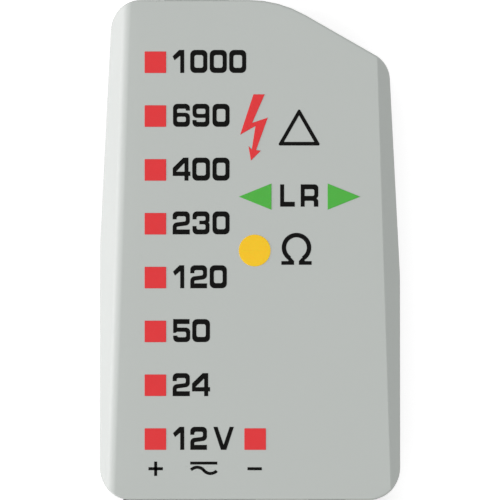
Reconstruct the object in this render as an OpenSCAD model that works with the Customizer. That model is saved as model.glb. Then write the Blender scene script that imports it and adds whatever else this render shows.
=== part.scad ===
// Two-pole voltage tester: a flat display head, a long grip under it, and a second probe
// docked beside the grip. It lies on its back with the display up.

/* [Head] */
// How far the head reaches out past the grip on the left
grip_margin = 2.5; // [1:0.1:6]
// Thickness of the head from its back to its face
head_t = 33; // [32:0.5:38]
// Radius of the two lower corners
heel_r = 6.4; // [5:0.1:8]
// Radius of the upper left corner
top_r = 6; // [5:0.1:8]
// Radius of the corner where the shoulder meets the right side
shoulder_r = 5.8; // [5:0.1:8]
// Radius where the flat top turns into the shoulder
brow_r = 18; // [10:0.5:24]
// How far the left side leans in at the top
left_lean = 2.9; // [1.5:0.1:4]
// How far the right side leans in at the shoulder
right_lean = 2.35; // [1.5:0.05:4]
// Drop of the shoulder below the flat top
shoulder_drop = 13.2; // [9:0.1:16]
// Width of the shoulder, from its start on the flat top to the head's right side
shoulder_w = 25.4; // [20:0.1:30]
// How far the dark housing stays inside the cover's outline
overhang = 0.5; // [0.2:0.1:1]

/* [Face] */
// Thickness of the cover behind the face
face_wall = 2; // [1.6:0.1:2.6]
// Thickness of the cover's side wall
cover_wall = 3.4; // [3:0.1:3.8]
// Distance from the head's left side to the face's left edge, at mid length
flank_left = 3.85; // [3:0.05:5]
// Distance from the head's right side to the face's right edge, at mid length
flank_right = 3.6; // [3:0.05:5]
// Lean of both face edges, in degrees
flank_turn = 1.8; // [1:0.1:3]
// Width of a sloped flank for each unit of its depth
flank_ratio = 0.54; // [0.4:0.02:0.7]
// Radius of the soft edge between the face and the left flank
soft_edge_r = 2; // [1:0.1:3]
// Radius of the crisp edge between the face and the right flank
crisp_edge_r = 0.4; // [0.2:0.1:1]

/* [Indicators] */
// Side of a square level window
level_size = 4.56; // [4:0.02:5]
// Step from one level window to the next
level_pitch = 11.47; // [11:0.01:12]
// Distance from the head's top down to the first level window
level_top_margin = 13.15; // [12:0.05:18]
// Distance from the last level window down to the head's lower edge
level_low_margin = 12.86; // [12:0.02:20]
// Distance of the level windows from the head's left side
level_margin = 11.9; // [10:0.1:14]
// Distance of the middle column of windows to the right of the middle
mid_x = 1.1; // [0:0.1:2]
// Width of the lightning window
bolt_w = 5.9; // [5:0.1:7]
// Length of the lightning window
bolt_h = 14.1; // [12:0.1:15]
// Drop of the lightning window's middle below the first level window
bolt_drop = 13.9; // [12:0.1:16]
// Length of a phase arrow along the face's width
phase_w = 6.8; // [6:0.1:8]
// Height of a phase arrow
phase_h = 5.5; // [4.5:0.1:6.5]
// Drop of the phase arrows' middle below the first level window
phase_drop = 28.6; // [27:0.1:30]
// Distance of the right phase arrow's middle from the head's right side
phase_margin = 11.95; // [10:0.05:14]
// Drop of the round window's middle below the first level window
glow_drop = 40; // [38:0.1:42]
// Radius of the round continuity window
glow_r = 3.47; // [3:0.01:4]

/* [Grip] */
// Length of the grip below the head
grip_l = 112; // [108:1:126]
// Radius of the grip's round sides
grip_r = 14.5; // [14.2:0.1:15.5]
// Flat width between the two round sides
grip_spread = 4; // [3:0.1:5]
// Thickness of the grip, front to back
grip_t = 28; // [27:0.5:28.4]
// Wall of the grip and of the housing
housing_wall = 2.4; // [2:0.1:2.8]
// Radius of the round lower end
grip_end_r = 8; // [6:0.5:9]
// Travel of the three push buttons
button_travel = 1.5; // [1:0.1:2]
// Length of the battery door
door_l = 60; // [57:1:66]

/* [Main probe] */
// Distance from the head's top to the probe's point
probe_reach = 58; // [52:1:70]
// Distance of the probe's axis from the head's left side
probe_margin = 20.5; // [18:0.5:24]
// Radius of the metal pin
pin_r = 2; // [1.6:0.1:2.2]
// Radius of the insulating sleeve on the pin
sleeve_r = 4; // [3.4:0.1:4.2]
// Length of bare pin beyond the sleeve
bare_l = 19; // [12:1:22]
// Length of the tip guard that slips over the bare pin
guard_l = 15; // [9:1:17]

/* [Second probe] */
// Gap between the grip and the docked handle
dock_gap = 2; // [1:0.1:4]
// Radius of its handle
second_r = 11; // [10:0.1:11.4]
// Thickness of its handle, front to back
second_t = 21; // [19:0.5:21.5]
// Length of its handle
second_l = 100; // [92:1:108]
// Wall of its handle
second_wall = 2.2; // [1.8:0.1:2.4]
// Length of the sleeve that shows ahead of its guard
second_sleeve_l = 19; // [15:1:22]

/* [Hidden] */
$fn = 64;

// Overrun of every cut past the face that it opens
over = 1;
// Running clearance between a pin or sleeve and its bore
fit = 0.05;
// Clearance between parts that slide past each other
slide_gap = 0.15;
// Clearance round parts that pass through a hole
loose_gap = 0.3;
// Largest turn of one facet along a rounded outline
arc_step = 7.5;

// Parking socket for the second probe's pin
socket_wall = 1.1;
socket_gap = 0.2;
socket_bore_r = sleeve_r + socket_gap;
socket_r = socket_bore_r + socket_wall;

// Screws through the head
screw_inset = 6.6;
screw_r = 1.25;
screw_hole_r = 1.4;
screw_head_r = 2.3;
screw_head_t = 1.8;
screw_recess_r = 2.6;
screw_seat_z = 4;
screw_bite = 6;
thread_gap = 0.03;
boss_r = 2.6;
rear_boss_r = 3.2;
boss_gap = 0.4;
drive_w = 0.7;
drive_t = 1;

// The head is as wide as the grip and the docked handle side by side, and as long as its
// column of level windows
level_rows = 8;
dock_margin = screw_inset + rear_boss_r + boss_gap + socket_r;
head_w = grip_margin + 2 * grip_r + grip_spread + dock_gap + second_r + dock_margin;
head_l = level_top_margin + (level_rows - 1) * level_pitch + level_low_margin;
dock_x = head_w / 2 - dock_margin;
grip_x = head_w / 2 - grip_margin - grip_r - grip_spread / 2;
probe_x = head_w / 2 - probe_margin;
brow_x = head_w / 2 - shoulder_w;
face_left = head_w / 2 - flank_left;
face_right = head_w / 2 - flank_right;
level_x = head_w / 2 - level_margin;
phase_right_x = head_w / 2 - phase_margin;
level_top_y = head_l / 2 - level_top_margin;
bolt_y = level_top_y - bolt_drop;
phase_y = level_top_y - phase_drop;
glow_y = level_top_y - glow_drop;

// Outline of the head
bend_r = 60;
left_bend_y = 1;
right_bend_y = -5.5;
edge_r = 0.5;
back_r = 3;
arc_mid_share = 0.29;
head_corners = [
    [-head_w / 2, -head_l / 2, heel_r],
    [head_w / 2, -head_l / 2, heel_r],
    [head_w / 2, right_bend_y, bend_r],
    [head_w / 2 - right_lean, head_l / 2 - shoulder_drop, shoulder_r],
    [brow_x, head_l / 2, brow_r],
    [-head_w / 2 + left_lean, head_l / 2, top_r],
    [-head_w / 2, left_bend_y, bend_r]
];

// Levels from the back to the face
axis_z = grip_t / 2;
board_t = 1.6;
board_gap = 0.1;
board_z = axis_z + socket_r + board_gap;
rim_z = board_z + board_t;
ceiling_z = head_t - face_wall;
flange_t = 0.8;
mask_top_z = ceiling_z - flange_t;

// Places along the length, from the middle of the head
head_top_y = head_l / 2;
head_low_y = -head_l / 2;
housing_low_y = head_low_y + overhang;
grip_top_y = housing_low_y + housing_wall;
grip_end_y = head_low_y - grip_l;
door_top_y = grip_end_y + door_l;
second_guard_drop = 1.9;
second_guard_t = 3.8;
second_guard_y = head_low_y - second_guard_drop;
second_top_y = second_guard_y - second_guard_t;
second_end_y = second_top_y - second_l;
gland_out = 4;
tip_y = head_top_y + probe_reach;
low_y = min(grip_end_y, second_end_y) - gland_out;
centre_y = -(tip_y + low_y) / 2;

// Corners of the head that take a screw
head_screw_spots = [for (i = [0, 1, 3, 5]) xy(inset(head_corners, screw_inset)[i])];

// Screws through the grip
grip_screw_rise = 9.9;
grip_screw_y = door_top_y + grip_screw_rise;
grip_screw_side = 10;
grip_screw_spots = [for (side = [-1, 1]) [-grip_x + side * grip_screw_side, grip_screw_y]];

// Seal in the rim of the front housing
seal_w = 1;
seal_t = 0.8;
seal_inset = overhang + (housing_wall - seal_w) / 2;

// Ledge that carries the board
ledge_w = 2.6;
ledge_t = 2;

// Windows and the wells behind them
window_proud = 0.08;
window_gap = 0.04;
window_lip = 0.7;
well_lip = 0.4;
chimney_wall = 0.8;
mask_t = 1.5;
mask_margin = 1.2;
level_low_y = level_top_y - (level_rows - 1) * level_pitch;
level_spots = [for (i = [0 : level_rows - 1]) [-level_x, level_top_y - i * level_pitch]];
bolt_shares = [
    [0.48, 1], [0.89, 1], [0.44, 0.57], [1, 0.65], [0.58, 0.16], [0.75, 0.15],
    [0.39, 0], [0.3, 0.22], [0.42, 0.17], [0.55, 0.48], [0, 0.39]
];
lamps = concat(
    [for (p = level_spots) [p, [level_size, level_size]]],
    [
        [[mid_x, level_low_y], [level_size, level_size]],
        [[mid_x, bolt_y], [bolt_w, bolt_h]],
        [[mid_x, phase_y], [phase_w, phase_h]],
        [[phase_right_x, phase_y], [phase_w, phase_h]],
        [[mid_x, glow_y], [2 * glow_r, 2 * glow_r]]
    ]
);
led_size = [2, 1.2, 0.9];

// Neck of the grip behind the head
neck_step = 3;
neck_l = 14;
cover_gap = 0.15;

// Board tail that carries the two switches in the grip
tail_w = 14;
tail_l = 48;
board_inset = cover_wall + loose_gap;

// Push buttons in the grip
button_flange_t = 1;
button_flange_w = 1.2;
button_out = 1.2;
button_dish_t = 0.5;
test_button_r = 6;
test_button_drop = 19;
test_button_y = housing_low_y - test_button_drop;
torch_button_r = 4;
torch_button_step = 17;
torch_button_y = test_button_y - torch_button_step;
switch_w = 6;
switch_gap = 0.1;
switch_stem_r = 1.6;

// Pieces under the board
chip_size = [12, 12, 1.8];
chip_step = 4;
chip_x = -4;
chip_lead = [0.5, 1, 0.3];
chip_pitch = 1.5;
chip_leads = 7;
resistor_r = 2.1;
resistor_l = 12;
resistor_lead_r = 0.3;
resistor_post_r = 0.4;
resistor_lead_l = 3;
resistor_step = 5.4;
resistor_side = 6.5;
resistor_drop = 7.25;
resistors = 4;
buzzer_r = 6.5;
buzzer_t = 5;
buzzer_margin = 18;
buzzer_rise = 13.15;
buzzer_spot = [-head_w / 2 + buzzer_margin, head_low_y + buzzer_rise];
buzzer_hole_r = 1;
sound_hole_r = 0.9;
sound_ring_r = 3.2;
sound_holes = 6;

// Vibration motor on the rear housing
motor_r = 3.5;
motor_l = 16;
motor_margin = 12;
motor_rise = 47.15;
motor_x = -head_w / 2 + motor_margin;
motor_y = head_low_y + motor_rise;
motor_lift = 1;
motor_z = housing_wall + motor_lift + motor_r;
motor_shaft_r = 0.5;
weight_r = 3.1;
weight_l = 4;
weight_gap = 0.6;
weight_hub_r = 1.3;
cradle_wall = 1.4;
cradle_l = 10;

// Batteries and the holder that seats them
battery_r = 5.25;
battery_l = 44.5;
battery_tip_r = 1.9;
battery_tip_t = 0.8;
battery_side = 5.6;
battery_z = 8.7;
battery_end_gap = 1.1;
holder_wall = 2;
holder_top_z = 17;
holder_gap = 0.1;
contact_r = 3.4;
contact_t = 0.4;
contact_bump_r = 1.5;
door_half = 11;
door_z = 6;
door_tongue_w = 0.9;
door_tongue_z = 4.2;
door_tongue_t = 1;
door_rib_w = 1.2;
door_rib_t = 0.5;
door_ribs = 5;
door_rib_pitch = 2.6;
battery_top_y = door_top_y - holder_wall - battery_end_gap - loose_gap;
battery_low_y = battery_top_y - battery_l;

// Soft inlay on the front of the grip
inlay_t = 1.2;
inlay_rise = 5;
inlay_z = axis_z + inlay_rise;
inlay_drop = 10.6;
inlay_top_y = torch_button_y - inlay_drop;
inlay_foot = 15.9;
inlay_l = inlay_top_y - grip_end_y - inlay_foot;
inlay_rib_out = 0.5;
inlay_rib_w = 1.6;
inlay_rib_pitch = 4.2;
inlay_ribs = floor(inlay_l / inlay_rib_pitch);

// Main probe
nozzle_r = 7;
nozzle_tip_r = 5.6;
nozzle_l = 14;
sleeve_in_l = 5;
sleeve_flange_r = 5;
sleeve_flange_t = 1.6;
pin_in_l = 4;
point_l = 4;
point_r = 0.5;
contact_tab_t = 0.8;
contact_tab_w = 3;
tip_guard_r = 3.6;
tip_guard_gap = 0.3;
tip_guard_rim = 0.6;
tip_guard_rim_l = 2;

// Torch in the top of the head
torch_side = 10.2;
torch_x = -probe_x + torch_side;
torch_r = 2.7;
torch_lens_out = 0.6;
torch_flange_r = 3.1;
torch_flange_t = 1;
torch_led_r = 2.5;
torch_led_l = 6;
torch_led_gap = 0.2;

// Cable gland
cable_r = 2.4;
gland_neck_r = 4.4;
gland_flange_r = 6;
gland_flange_t = 2;
gland_collar_r = 5.4;
second_gland_neck_r = 4;
second_gland_collar_r = 5;

// Dock rail on the grip and groove in the second handle
rail_drop = 4;
rail_z = axis_z - rail_drop;
rail_t = rail_drop - loose_gap;
rail_out = 3;
rail_root = 1.5;
rail_top_drop = 35;
rail_top_y = grip_top_y - rail_top_drop;
rail_l = 45;
rail_x = -grip_x + grip_spread / 2 + grip_r;

// Second handle
second_guard_r = 13.6;
second_neck_r = 6;
second_waist_r = 9;
second_waist_l = 16;
second_end_r = 5;
second_plug_l = 8;
second_pin_in_l = 11;
second_tip_y = second_guard_y + second_sleeve_l + bare_l;
guard_gap = 0.8;
guard_side = dock_x - rail_x - guard_gap;
socket_tip_gap = 3;
second_button_r = 4.5;
second_button_drop = 24;
second_button_y = second_top_y - second_button_drop;
second_button_out = 1;
second_board_w = 12;
second_board_l = 42;
second_board_t = 1.2;
second_board_drop = 14;
second_board_top_y = second_top_y - second_board_drop;
second_board_z = axis_z + pin_r;
second_switch_w = 5;
second_resistor_step = 12;
second_resistor_y = second_button_y - second_resistor_step;
second_rib_t = 1.5;
second_screw_r = 1;
second_screw_head_r = 1.9;
second_screw_head_t = 1.4;
second_screw_seat = 3;
second_boss_r = 2.4;
second_screw_step = 6;
second_screw_foot = 12;
second_screw_drops = [
    second_board_drop + second_board_l + second_screw_step, second_l - second_screw_foot
];

// Recess for a plain panel on the back
panel_w = 40;
panel_l = 62;
panel_r = 3;
panel_t = 0.4;
panel_y = -2;

// Points of an outline given as corners [x, y, radius], listed counterclockwise
function xy(c) = [c[0], c[1]];
function unit(v) = v / norm(v);
function corner(c, i) = c[(i + len(c)) % len(c)];
function arc_count(a) = max(2, ceil(a / arc_step));
function fillet(c, i) =
    let (
        p = xy(c[i]),
        r = c[i][2],
        u = unit(xy(corner(c, i - 1)) - p),
        v = unit(xy(corner(c, i + 1)) - p),
        half = acos(u * v) / 2,
        mid = p + unit(u + v) * r / sin(half),
        start = p + u * r / tan(half) - mid,
        from = atan2(start[1], start[0]),
        turn = 180 - 2 * half,
        n = arc_count(turn)
    )
    r > 0 ? [for (k = [0 : n]) mid + r * [cos(from + turn * k / n), sin(from + turn * k / n)]] : [p];
function rounded(c) = [for (i = [0 : len(c) - 1]) each fillet(c, i)];
function edge_normal(a, b) = let (e = unit(b - a)) [-e[1], e[0]];
function inset_corner(c, i, d) =
    let (
        p = xy(c[i]),
        n1 = edge_normal(xy(corner(c, i - 1)), p),
        n2 = edge_normal(p, xy(corner(c, i + 1))),
        q = p + (n1 + n2) * d / (1 + n1 * n2)
    )
    [q[0], q[1], max(c[i][2] - d, 0)];
function inset(c, d) = [for (i = [0 : len(c) - 1]) inset_corner(c, i, d)];
function box_corners(w, l, r) = [
    [-w / 2, -l / 2, r], [w / 2, -l / 2, r], [w / 2, l / 2, r], [-w / 2, l / 2, r]
];

// Shared shapes
module centred() {
    translate([0, centre_y, 0]) children();
}

module head_prism(by, z0, z1) {
    translate([0, 0, z0])
        linear_extrude(z1 - z0)
            polygon(rounded(inset(head_corners, by)));
}

module head_ring(outer, inner, z0, z1) {
    difference() {
        head_prism(outer, z0, z1);
        head_prism(inner, z0 - over, z1 + over);
    }
}

module at_spots(spots) {
    for (p = spots)
        translate([p[0], p[1], 0]) children();
}

module span_box(x0, x1, y0, y1, z0, z1) {
    translate([x0, y0, z0]) cube([x1 - x0, y1 - y0, z1 - z0]);
}

module post(r, z0, z1) {
    translate([0, 0, z0]) cylinder(h = z1 - z0, r = r);
}

// Round bar along the length, from y0 down to y1, at height z
module bar(x, z, r, y0, y1) {
    translate([x, y0, z]) rotate([90, 0, 0]) cylinder(h = y0 - y1, r = r);
}

// Tapered bar along the length, with its own radius at each end
module taper(x, z, r0, r1, y0, y1) {
    translate([x, y0, z]) rotate([90, 0, 0]) cylinder(h = y0 - y1, r1 = r0, r2 = r1);
}

module upper_half() {
    intersection() {
        children();
        span_box(-head_w, head_w, low_y - over, tip_y + over, axis_z, head_t + over);
    }
}

module lower_half() {
    intersection() {
        children();
        span_box(-head_w, head_w, low_y - over, tip_y + over, -over, axis_z);
    }
}

// Height of a round ceiling above the split, at a distance from the middle
function arch(r, side) = sqrt(r * r - side * side);

// Half outline of a handle, from its flat top down to its rounded end
module handle_profile(r, l, end_r, neck_r, neck, lead) {
    polygon([[0, -lead], [neck_r, -lead], [neck_r, 0], [r, neck], [r, l - end_r], [0, l - end_r]]);
    square_up(l - end_r, r - end_r, end_r);
    translate([r - end_r, l - end_r])
        intersection() {
            circle(end_r);
            square(end_r);
        }
}

module square_up(y, w, h) {
    translate([0, y]) square([w, h]);
}

// Grip body, made larger all round by grow and longer at its top by lead
module grip_body(grow, lead) {
    r = grip_r + grow;
    l = grip_top_y - grip_end_y + grow;
    end_r = grip_end_r + grow;
    intersection() {
        translate([-grip_x, grip_top_y, axis_z])
            rotate([90, 0, 0]) {
                for (side = [-1, 1])
                    translate([side * grip_spread / 2, 0, 0])
                        rotate([0, 0, -side * 90])
                            rotate_extrude(angle = 180)
                                handle_profile(r, l, end_r, r - neck_step, neck_l, lead);
                translate([-grip_spread / 2, 0, 0])
                    rotate([90, 0, 90])
                        linear_extrude(grip_spread)
                            for (m = [0, 1])
                                mirror([m, 0])
                                    handle_profile(r, l, end_r, r - neck_step, neck_l, lead);
            }
        span_box(-2 * head_w, head_w, grip_end_y - head_w, head_l, -grow, grip_t + grow);
    }
}

module grip_cavity() {
    grip_body(-housing_wall, over);
}

module probe_bar(r, y0, y1) {
    bar(-probe_x, axis_z, r, y0, y1);
}

// Places along the main probe
nozzle_y = head_top_y - overhang;
inner_top_y = nozzle_y - housing_wall;
collar_end_y = inner_top_y - sleeve_in_l;
sleeve_tip_y = tip_y - bare_l;
pin_end_y = collar_end_y - pin_in_l;
collar_r = board_z - axis_z - board_gap;
resistor_y = pin_end_y - resistor_drop;
chip_y = resistor_y - resistor_l - 2 * resistor_lead_l - chip_step - chip_size[1] / 2;

module nozzle() {
    taper(-probe_x, axis_z, nozzle_tip_r, nozzle_r, nozzle_y + nozzle_l, nozzle_y - overhang);
    probe_bar(collar_r, nozzle_y, collar_end_y);
}

// Holes that both halves of the housing share along the split
module split_holes() {
    probe_bar(sleeve_r + fit, tip_y, collar_end_y - over);
    bar(torch_x, axis_z, torch_r + fit, head_l, inner_top_y - over);
    bar(
        dock_x, axis_z, socket_r + fit, housing_low_y + housing_wall + ledge_w + over,
        housing_low_y - over
    );
    bar(-grip_x, axis_z, gland_neck_r + fit, grip_end_y + housing_wall + over, grip_end_y - over);
}

module display_cover() {
    color([0.73, 0.75, 0.73]) centred()
        difference() {
            union() {
                difference() {
                    cover_block();
                    head_prism(cover_wall, rim_z - over, ceiling_z);
                }
                head_screws_at() post(boss_r, rim_z, ceiling_z + face_wall / 2);
            }
            head_screws_at() post(screw_r + thread_gap, rim_z - over, rim_z + screw_bite + over);
            translate([0, 0, ceiling_z - over])
                linear_extrude(head_t - ceiling_z + 2 * over)
                    all_windows();
        }
}

module cover_block() {
    intersection() {
        hull() {
            head_prism(0, rim_z, head_t - edge_r);
            head_prism(edge_r, rim_z, head_t);
        }
        flank_keep(face_right, crisp_edge_r);
        mirror([1, 0, 0]) flank_keep(face_left, soft_edge_r);
    }
}

// Everything on the inner side of a sloped flank whose top edge is at side_x
module flank_keep(side_x, edge) {
    reach = 2 * head_w;
    translate([side_x, 0, 0])
        rotate([90, 0, flank_turn])
            linear_extrude(2 * head_l, center = true)
                polygon(rounded([
                    [-reach, 0, 0], [head_t * flank_ratio, 0, 0], [0, head_t, edge], [-reach, head_t, 0]
                ]));
}

module level_shape() {
    square(level_size, center = true);
}

module bolt_shape() {
    translate([-bolt_w / 2, -bolt_h / 2])
        polygon([for (s = bolt_shares) [s[0] * bolt_w, s[1] * bolt_h]]);
}

// Arrow that points to the left for -1 and to the right for 1
module phase_shape(way) {
    polygon([[way * phase_w / 2, 0], [-way * phase_w / 2, phase_h / 2], [-way * phase_w / 2, -phase_h / 2]]);
}

module all_windows() {
    for (p = level_spots)
        translate(p) level_shape();
    translate([mid_x, level_low_y]) level_shape();
    translate([mid_x, bolt_y]) bolt_shape();
    translate([mid_x, phase_y]) phase_shape(-1);
    translate([phase_right_x, phase_y]) phase_shape(1);
    translate([mid_x, glow_y]) circle(glow_r + window_gap);
}

// Lens of one window: its shape through the face, on a square flange behind it
module window_lens(spot, size) {
    centred() translate([spot[0], spot[1], 0]) {
        translate([0, 0, ceiling_z]) linear_extrude(face_wall + window_proud) children();
        translate([0, 0, mask_top_z])
            linear_extrude(flange_t)
                square([size[0] + 2 * window_lip, size[1] + 2 * window_lip], center = true);
    }
}

module level_window(row) {
    color([0.88, 0.25, 0.26]) window_lens(level_spots[row], [level_size, level_size]) level_shape();
}

module polarity_window() {
    color([0.88, 0.25, 0.26])
        window_lens([mid_x, level_low_y], [level_size, level_size]) level_shape();
}

module danger_window() {
    color([0.88, 0.25, 0.26]) window_lens([mid_x, bolt_y], [bolt_w, bolt_h]) bolt_shape();
}

module phase_window_left() {
    color([0.33, 0.7, 0.28]) window_lens([mid_x, phase_y], [phase_w, phase_h]) phase_shape(-1);
}

module phase_window_right() {
    color([0.33, 0.7, 0.28])
        window_lens([phase_right_x, phase_y], [phase_w, phase_h]) phase_shape(1);
}

module continuity_window() {
    color([0.97, 0.77, 0.21])
        window_lens([mid_x, glow_y], [2 * glow_r, 2 * glow_r]) circle(glow_r);
}

module light_mask() {
    color([0.08, 0.08, 0.08]) centred()
        difference() {
            union() {
                head_prism(board_inset + mask_margin, mask_top_z - mask_t, mask_top_z);
                for (lamp = lamps)
                    lamp_block(lamp, 2 * (chimney_wall - well_lip), rim_z, mask_top_z);
            }
            for (lamp = lamps)
                lamp_block(lamp, -2 * well_lip, rim_z - over, mask_top_z + over);
            head_screws_at() post(boss_r + loose_gap, rim_z - over, head_t);
        }
}

// Block with the plan of one window's box, wider and longer by more
module lamp_block(lamp, more, z0, z1) {
    translate([lamp[0][0], lamp[0][1], z0])
        linear_extrude(z1 - z0)
            square([lamp[1][0] + more, lamp[1][1] + more], center = true);
}

module cover_seal() {
    color([0.1, 0.1, 0.1]) centred()
        difference() {
            head_ring(seal_inset, seal_inset + seal_w, rim_z - seal_t, rim_z);
            tail_box(2 * seal_w, rim_z - seal_t - over, rim_z + over, head_low_y, grip_top_y + over);
        }
}

// Space over the board's tail, wider by more
module tail_box(more, z0, z1, y0, y1) {
    half = (tail_w + more) / 2;
    span_box(-grip_x - half, -grip_x + half, y0, y1, z0, z1);
}

module front_housing() {
    color([0.16, 0.17, 0.18]) centred()
        difference() {
            union() {
                head_ring(overhang, overhang + housing_wall, axis_z, rim_z);
                head_ring(
                    overhang + housing_wall / 2, overhang + housing_wall + ledge_w, board_z - ledge_t, board_z
                );
                head_screws_at() post(boss_r, axis_z, board_z);
                front_grip();
                upper_half() nozzle();
            }
            difference() {
                head_ring(seal_inset, seal_inset + seal_w, rim_z - seal_t, rim_z + over);
                tail_box(2 * seal_w, board_z, rim_z + 2 * over, head_low_y, grip_top_y + over);
            }
            tail_box(2 * loose_gap, board_z, rim_z + over, grip_top_y - housing_wall, grip_top_y + over);
            split_holes();
            head_screws_at() post(screw_hole_r, axis_z - over, head_t);
            button_hole(test_button_y, test_button_r);
            button_hole(torch_button_y, torch_button_r);
            grip_screws_at() post(screw_r + thread_gap, axis_z - over, axis_z + screw_bite + over);
        }
}

module button_hole(y, r) {
    translate([-grip_x, y, 0]) post(r + slide_gap, rim_z + over, grip_t + over);
}

module front_grip() {
    upper_half()
        difference() {
            grip_body(0, 0);
            difference() {
                grip_cavity();
                grip_screws_at() post(boss_r, axis_z, grip_t);
            }
            span_box(-head_w, head_w, head_low_y - cover_gap, head_l, rim_z, head_t);
            inlay_shell(over);
        }
}

// Skin of the grip's front between the depth of the inlay and a height above it
module inlay_shell(above) {
    intersection() {
        difference() {
            grip_body(above, 0);
            grip_body(-inlay_t, 0);
        }
        span_box(-head_w, head_w, inlay_top_y - inlay_l, inlay_top_y, inlay_z, head_t + over);
    }
}

module grip_inlay() {
    color([0.1, 0.1, 0.11]) centred() {
        inlay_shell(0);
        intersection() {
            difference() {
                grip_body(inlay_rib_out, 0);
                grip_body(-inlay_t / 2, 0);
            }
            for (i = [0 : inlay_ribs - 1])
                inlay_rib(inlay_top_y - inlay_rib_pitch * (i + 1));
        }
    }
}

module inlay_rib(y) {
    span_box(-head_w, head_w, y - inlay_rib_w / 2, y + inlay_rib_w / 2, inlay_z + inlay_t, head_t);
}

module rear_housing() {
    color([0.16, 0.17, 0.18]) centred()
        difference() {
            union() {
                difference() {
                    union() {
                        rear_block();
                        lower_half() grip_body(0, 0);
                        dock_rail();
                    }
                    difference() {
                        union() {
                            head_prism(overhang + housing_wall, housing_wall, axis_z + over);
                            grip_cavity();
                        }
                        head_screws_at() post(rear_boss_r, 0, axis_z);
                        grip_screws_at() post(rear_boss_r, 0, axis_z);
                    }
                }
                lower_half() nozzle();
                motor_cradle();
                socket_saddle();
            }
            split_holes();
            head_screws_at() screw_hole(screw_seat_z);
            grip_screws_at() screw_hole(grip_seat_z);
            door_opening();
            sound_openings();
            translate([0, panel_y, -over])
                linear_extrude(over + panel_t)
                    polygon(rounded(box_corners(panel_w, panel_l, panel_r)));
        }
}

grip_seat_z = housing_wall + screw_seat_z;

module rear_block() {
    mid = arc_mid_share * back_r;
    hull() {
        head_prism(overhang, back_r, axis_z);
        head_prism(overhang + mid, mid, axis_z);
        head_prism(overhang + back_r, 0, axis_z);
    }
}

module screw_hole(seat) {
    post(screw_hole_r, -over, axis_z + over);
    post(screw_recess_r, -over, seat);
}

module dock_rail() {
    span_box(
        rail_x - rail_root, rail_x + rail_out, rail_top_y - rail_l, rail_top_y, rail_z, rail_z + rail_t
    );
}

module door_opening() {
    half = door_half + slide_gap;
    reach = door_half + door_tongue_w + slide_gap;
    span_box(
        -grip_x - half, -grip_x + half, low_y, door_top_y + slide_gap, -over, door_z + slide_gap
    );
    span_box(
        -grip_x - reach, -grip_x + reach, low_y, door_top_y + slide_gap,
        door_tongue_z - slide_gap, door_tongue_z + door_tongue_t + slide_gap
    );
}

module sound_openings() {
    translate([buzzer_spot[0], buzzer_spot[1], 0])
        for (i = [0 : sound_holes - 1])
            rotate([0, 0, i * 360 / sound_holes])
                translate([sound_ring_r, 0, 0]) post(sound_hole_r, -over, housing_wall + over);
}

module motor_cradle() {
    half = motor_r + cradle_wall;
    low = motor_y - cradle_l / 2;
    difference() {
        span_box(
            motor_x - half, motor_x + half, low, low + cradle_l, housing_wall - panel_t, motor_z
        );
        bar(motor_x, motor_z, motor_r + fit, low + cradle_l + over, low - over);
    }
}

module socket_saddle() {
    y = socket_end_y + saddle_back;
    difference() {
        span_box(
            dock_x - socket_r, dock_x + socket_r, y - saddle_t, y, housing_wall - panel_t, axis_z
        );
        bar(dock_x, axis_z, socket_r + fit, y + over, y - saddle_t - over);
    }
}

saddle_t = 2;
saddle_back = -6;
socket_end_y = second_tip_y + socket_tip_gap + socket_wall;

module parking_socket() {
    color([0.12, 0.12, 0.13]) centred()
        difference() {
            bar(dock_x, axis_z, socket_r, socket_end_y, housing_low_y);
            bar(dock_x, axis_z, socket_bore_r, socket_end_y - socket_wall, housing_low_y - over);
        }
}

module main_board() {
    color([0.05, 0.35, 0.2]) centred()
        difference() {
            union() {
                head_prism(board_inset, board_z, rim_z);
                tail_box(0, board_z, rim_z, grip_top_y - tail_l, head_low_y + 2 * cover_wall);
            }
            head_screws_at() post(screw_hole_r, board_z - over, rim_z + over);
        }
}

module indicator_leds() {
    color([0.95, 0.92, 0.8]) centred()
        for (lamp = lamps)
            translate([lamp[0][0] - led_size[0] / 2, lamp[0][1] - led_size[1] / 2, rim_z])
                cube(led_size);
}

module controller_chip() {
    color([0.07, 0.07, 0.07]) centred()
        translate([chip_x, chip_y, board_z - chip_size[2]]) {
            translate([-chip_size[0] / 2, -chip_size[1] / 2, 0]) cube(chip_size);
            for (side = [-1, 1], i = [0 : chip_leads - 1])
                translate([
                    side * (chip_size[0] + chip_lead[1]) / 2 - chip_lead[1] / 2,
                    (i - (chip_leads - 1) / 2) * chip_pitch - chip_lead[0] / 2,
                    chip_size[2] - chip_lead[2]
                ])
                    cube([chip_lead[1], chip_lead[0], chip_lead[2]]);
        }
}

module resistor(x, y, z, top) {
    bar(x, z, resistor_r, y, y - resistor_l);
    bar(x, z, resistor_lead_r, y + resistor_lead_l, y - resistor_l - resistor_lead_l);
    for (end_y = [y + resistor_lead_l, y - resistor_l - resistor_lead_l])
        translate([x, end_y, 0]) post(resistor_post_r, z - resistor_post_r, top);
}

module series_resistors() {
    color([0.2, 0.35, 0.55]) centred()
        for (i = [0 : resistors - 1])
            resistor(
                -probe_x - resistor_side + i * resistor_step, resistor_y, board_z - resistor_r, board_z
            );
}

module buzzer() {
    color([0.09, 0.09, 0.09]) centred()
        translate([buzzer_spot[0], buzzer_spot[1], 0])
            difference() {
                post(buzzer_r, board_z - buzzer_t, board_z);
                post(buzzer_hole_r, board_z - buzzer_t - over, board_z - buzzer_t + over);
            }
}

module vibration_motor() {
    color([0.75, 0.76, 0.78]) centred() {
        bar(motor_x, motor_z, motor_r, motor_y + motor_l / 2, motor_y - motor_l / 2);
        bar(
            motor_x, motor_z, motor_shaft_r,
            motor_y + motor_l / 2 + weight_gap + weight_l + weight_gap, motor_y
        );
    }
}

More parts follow.
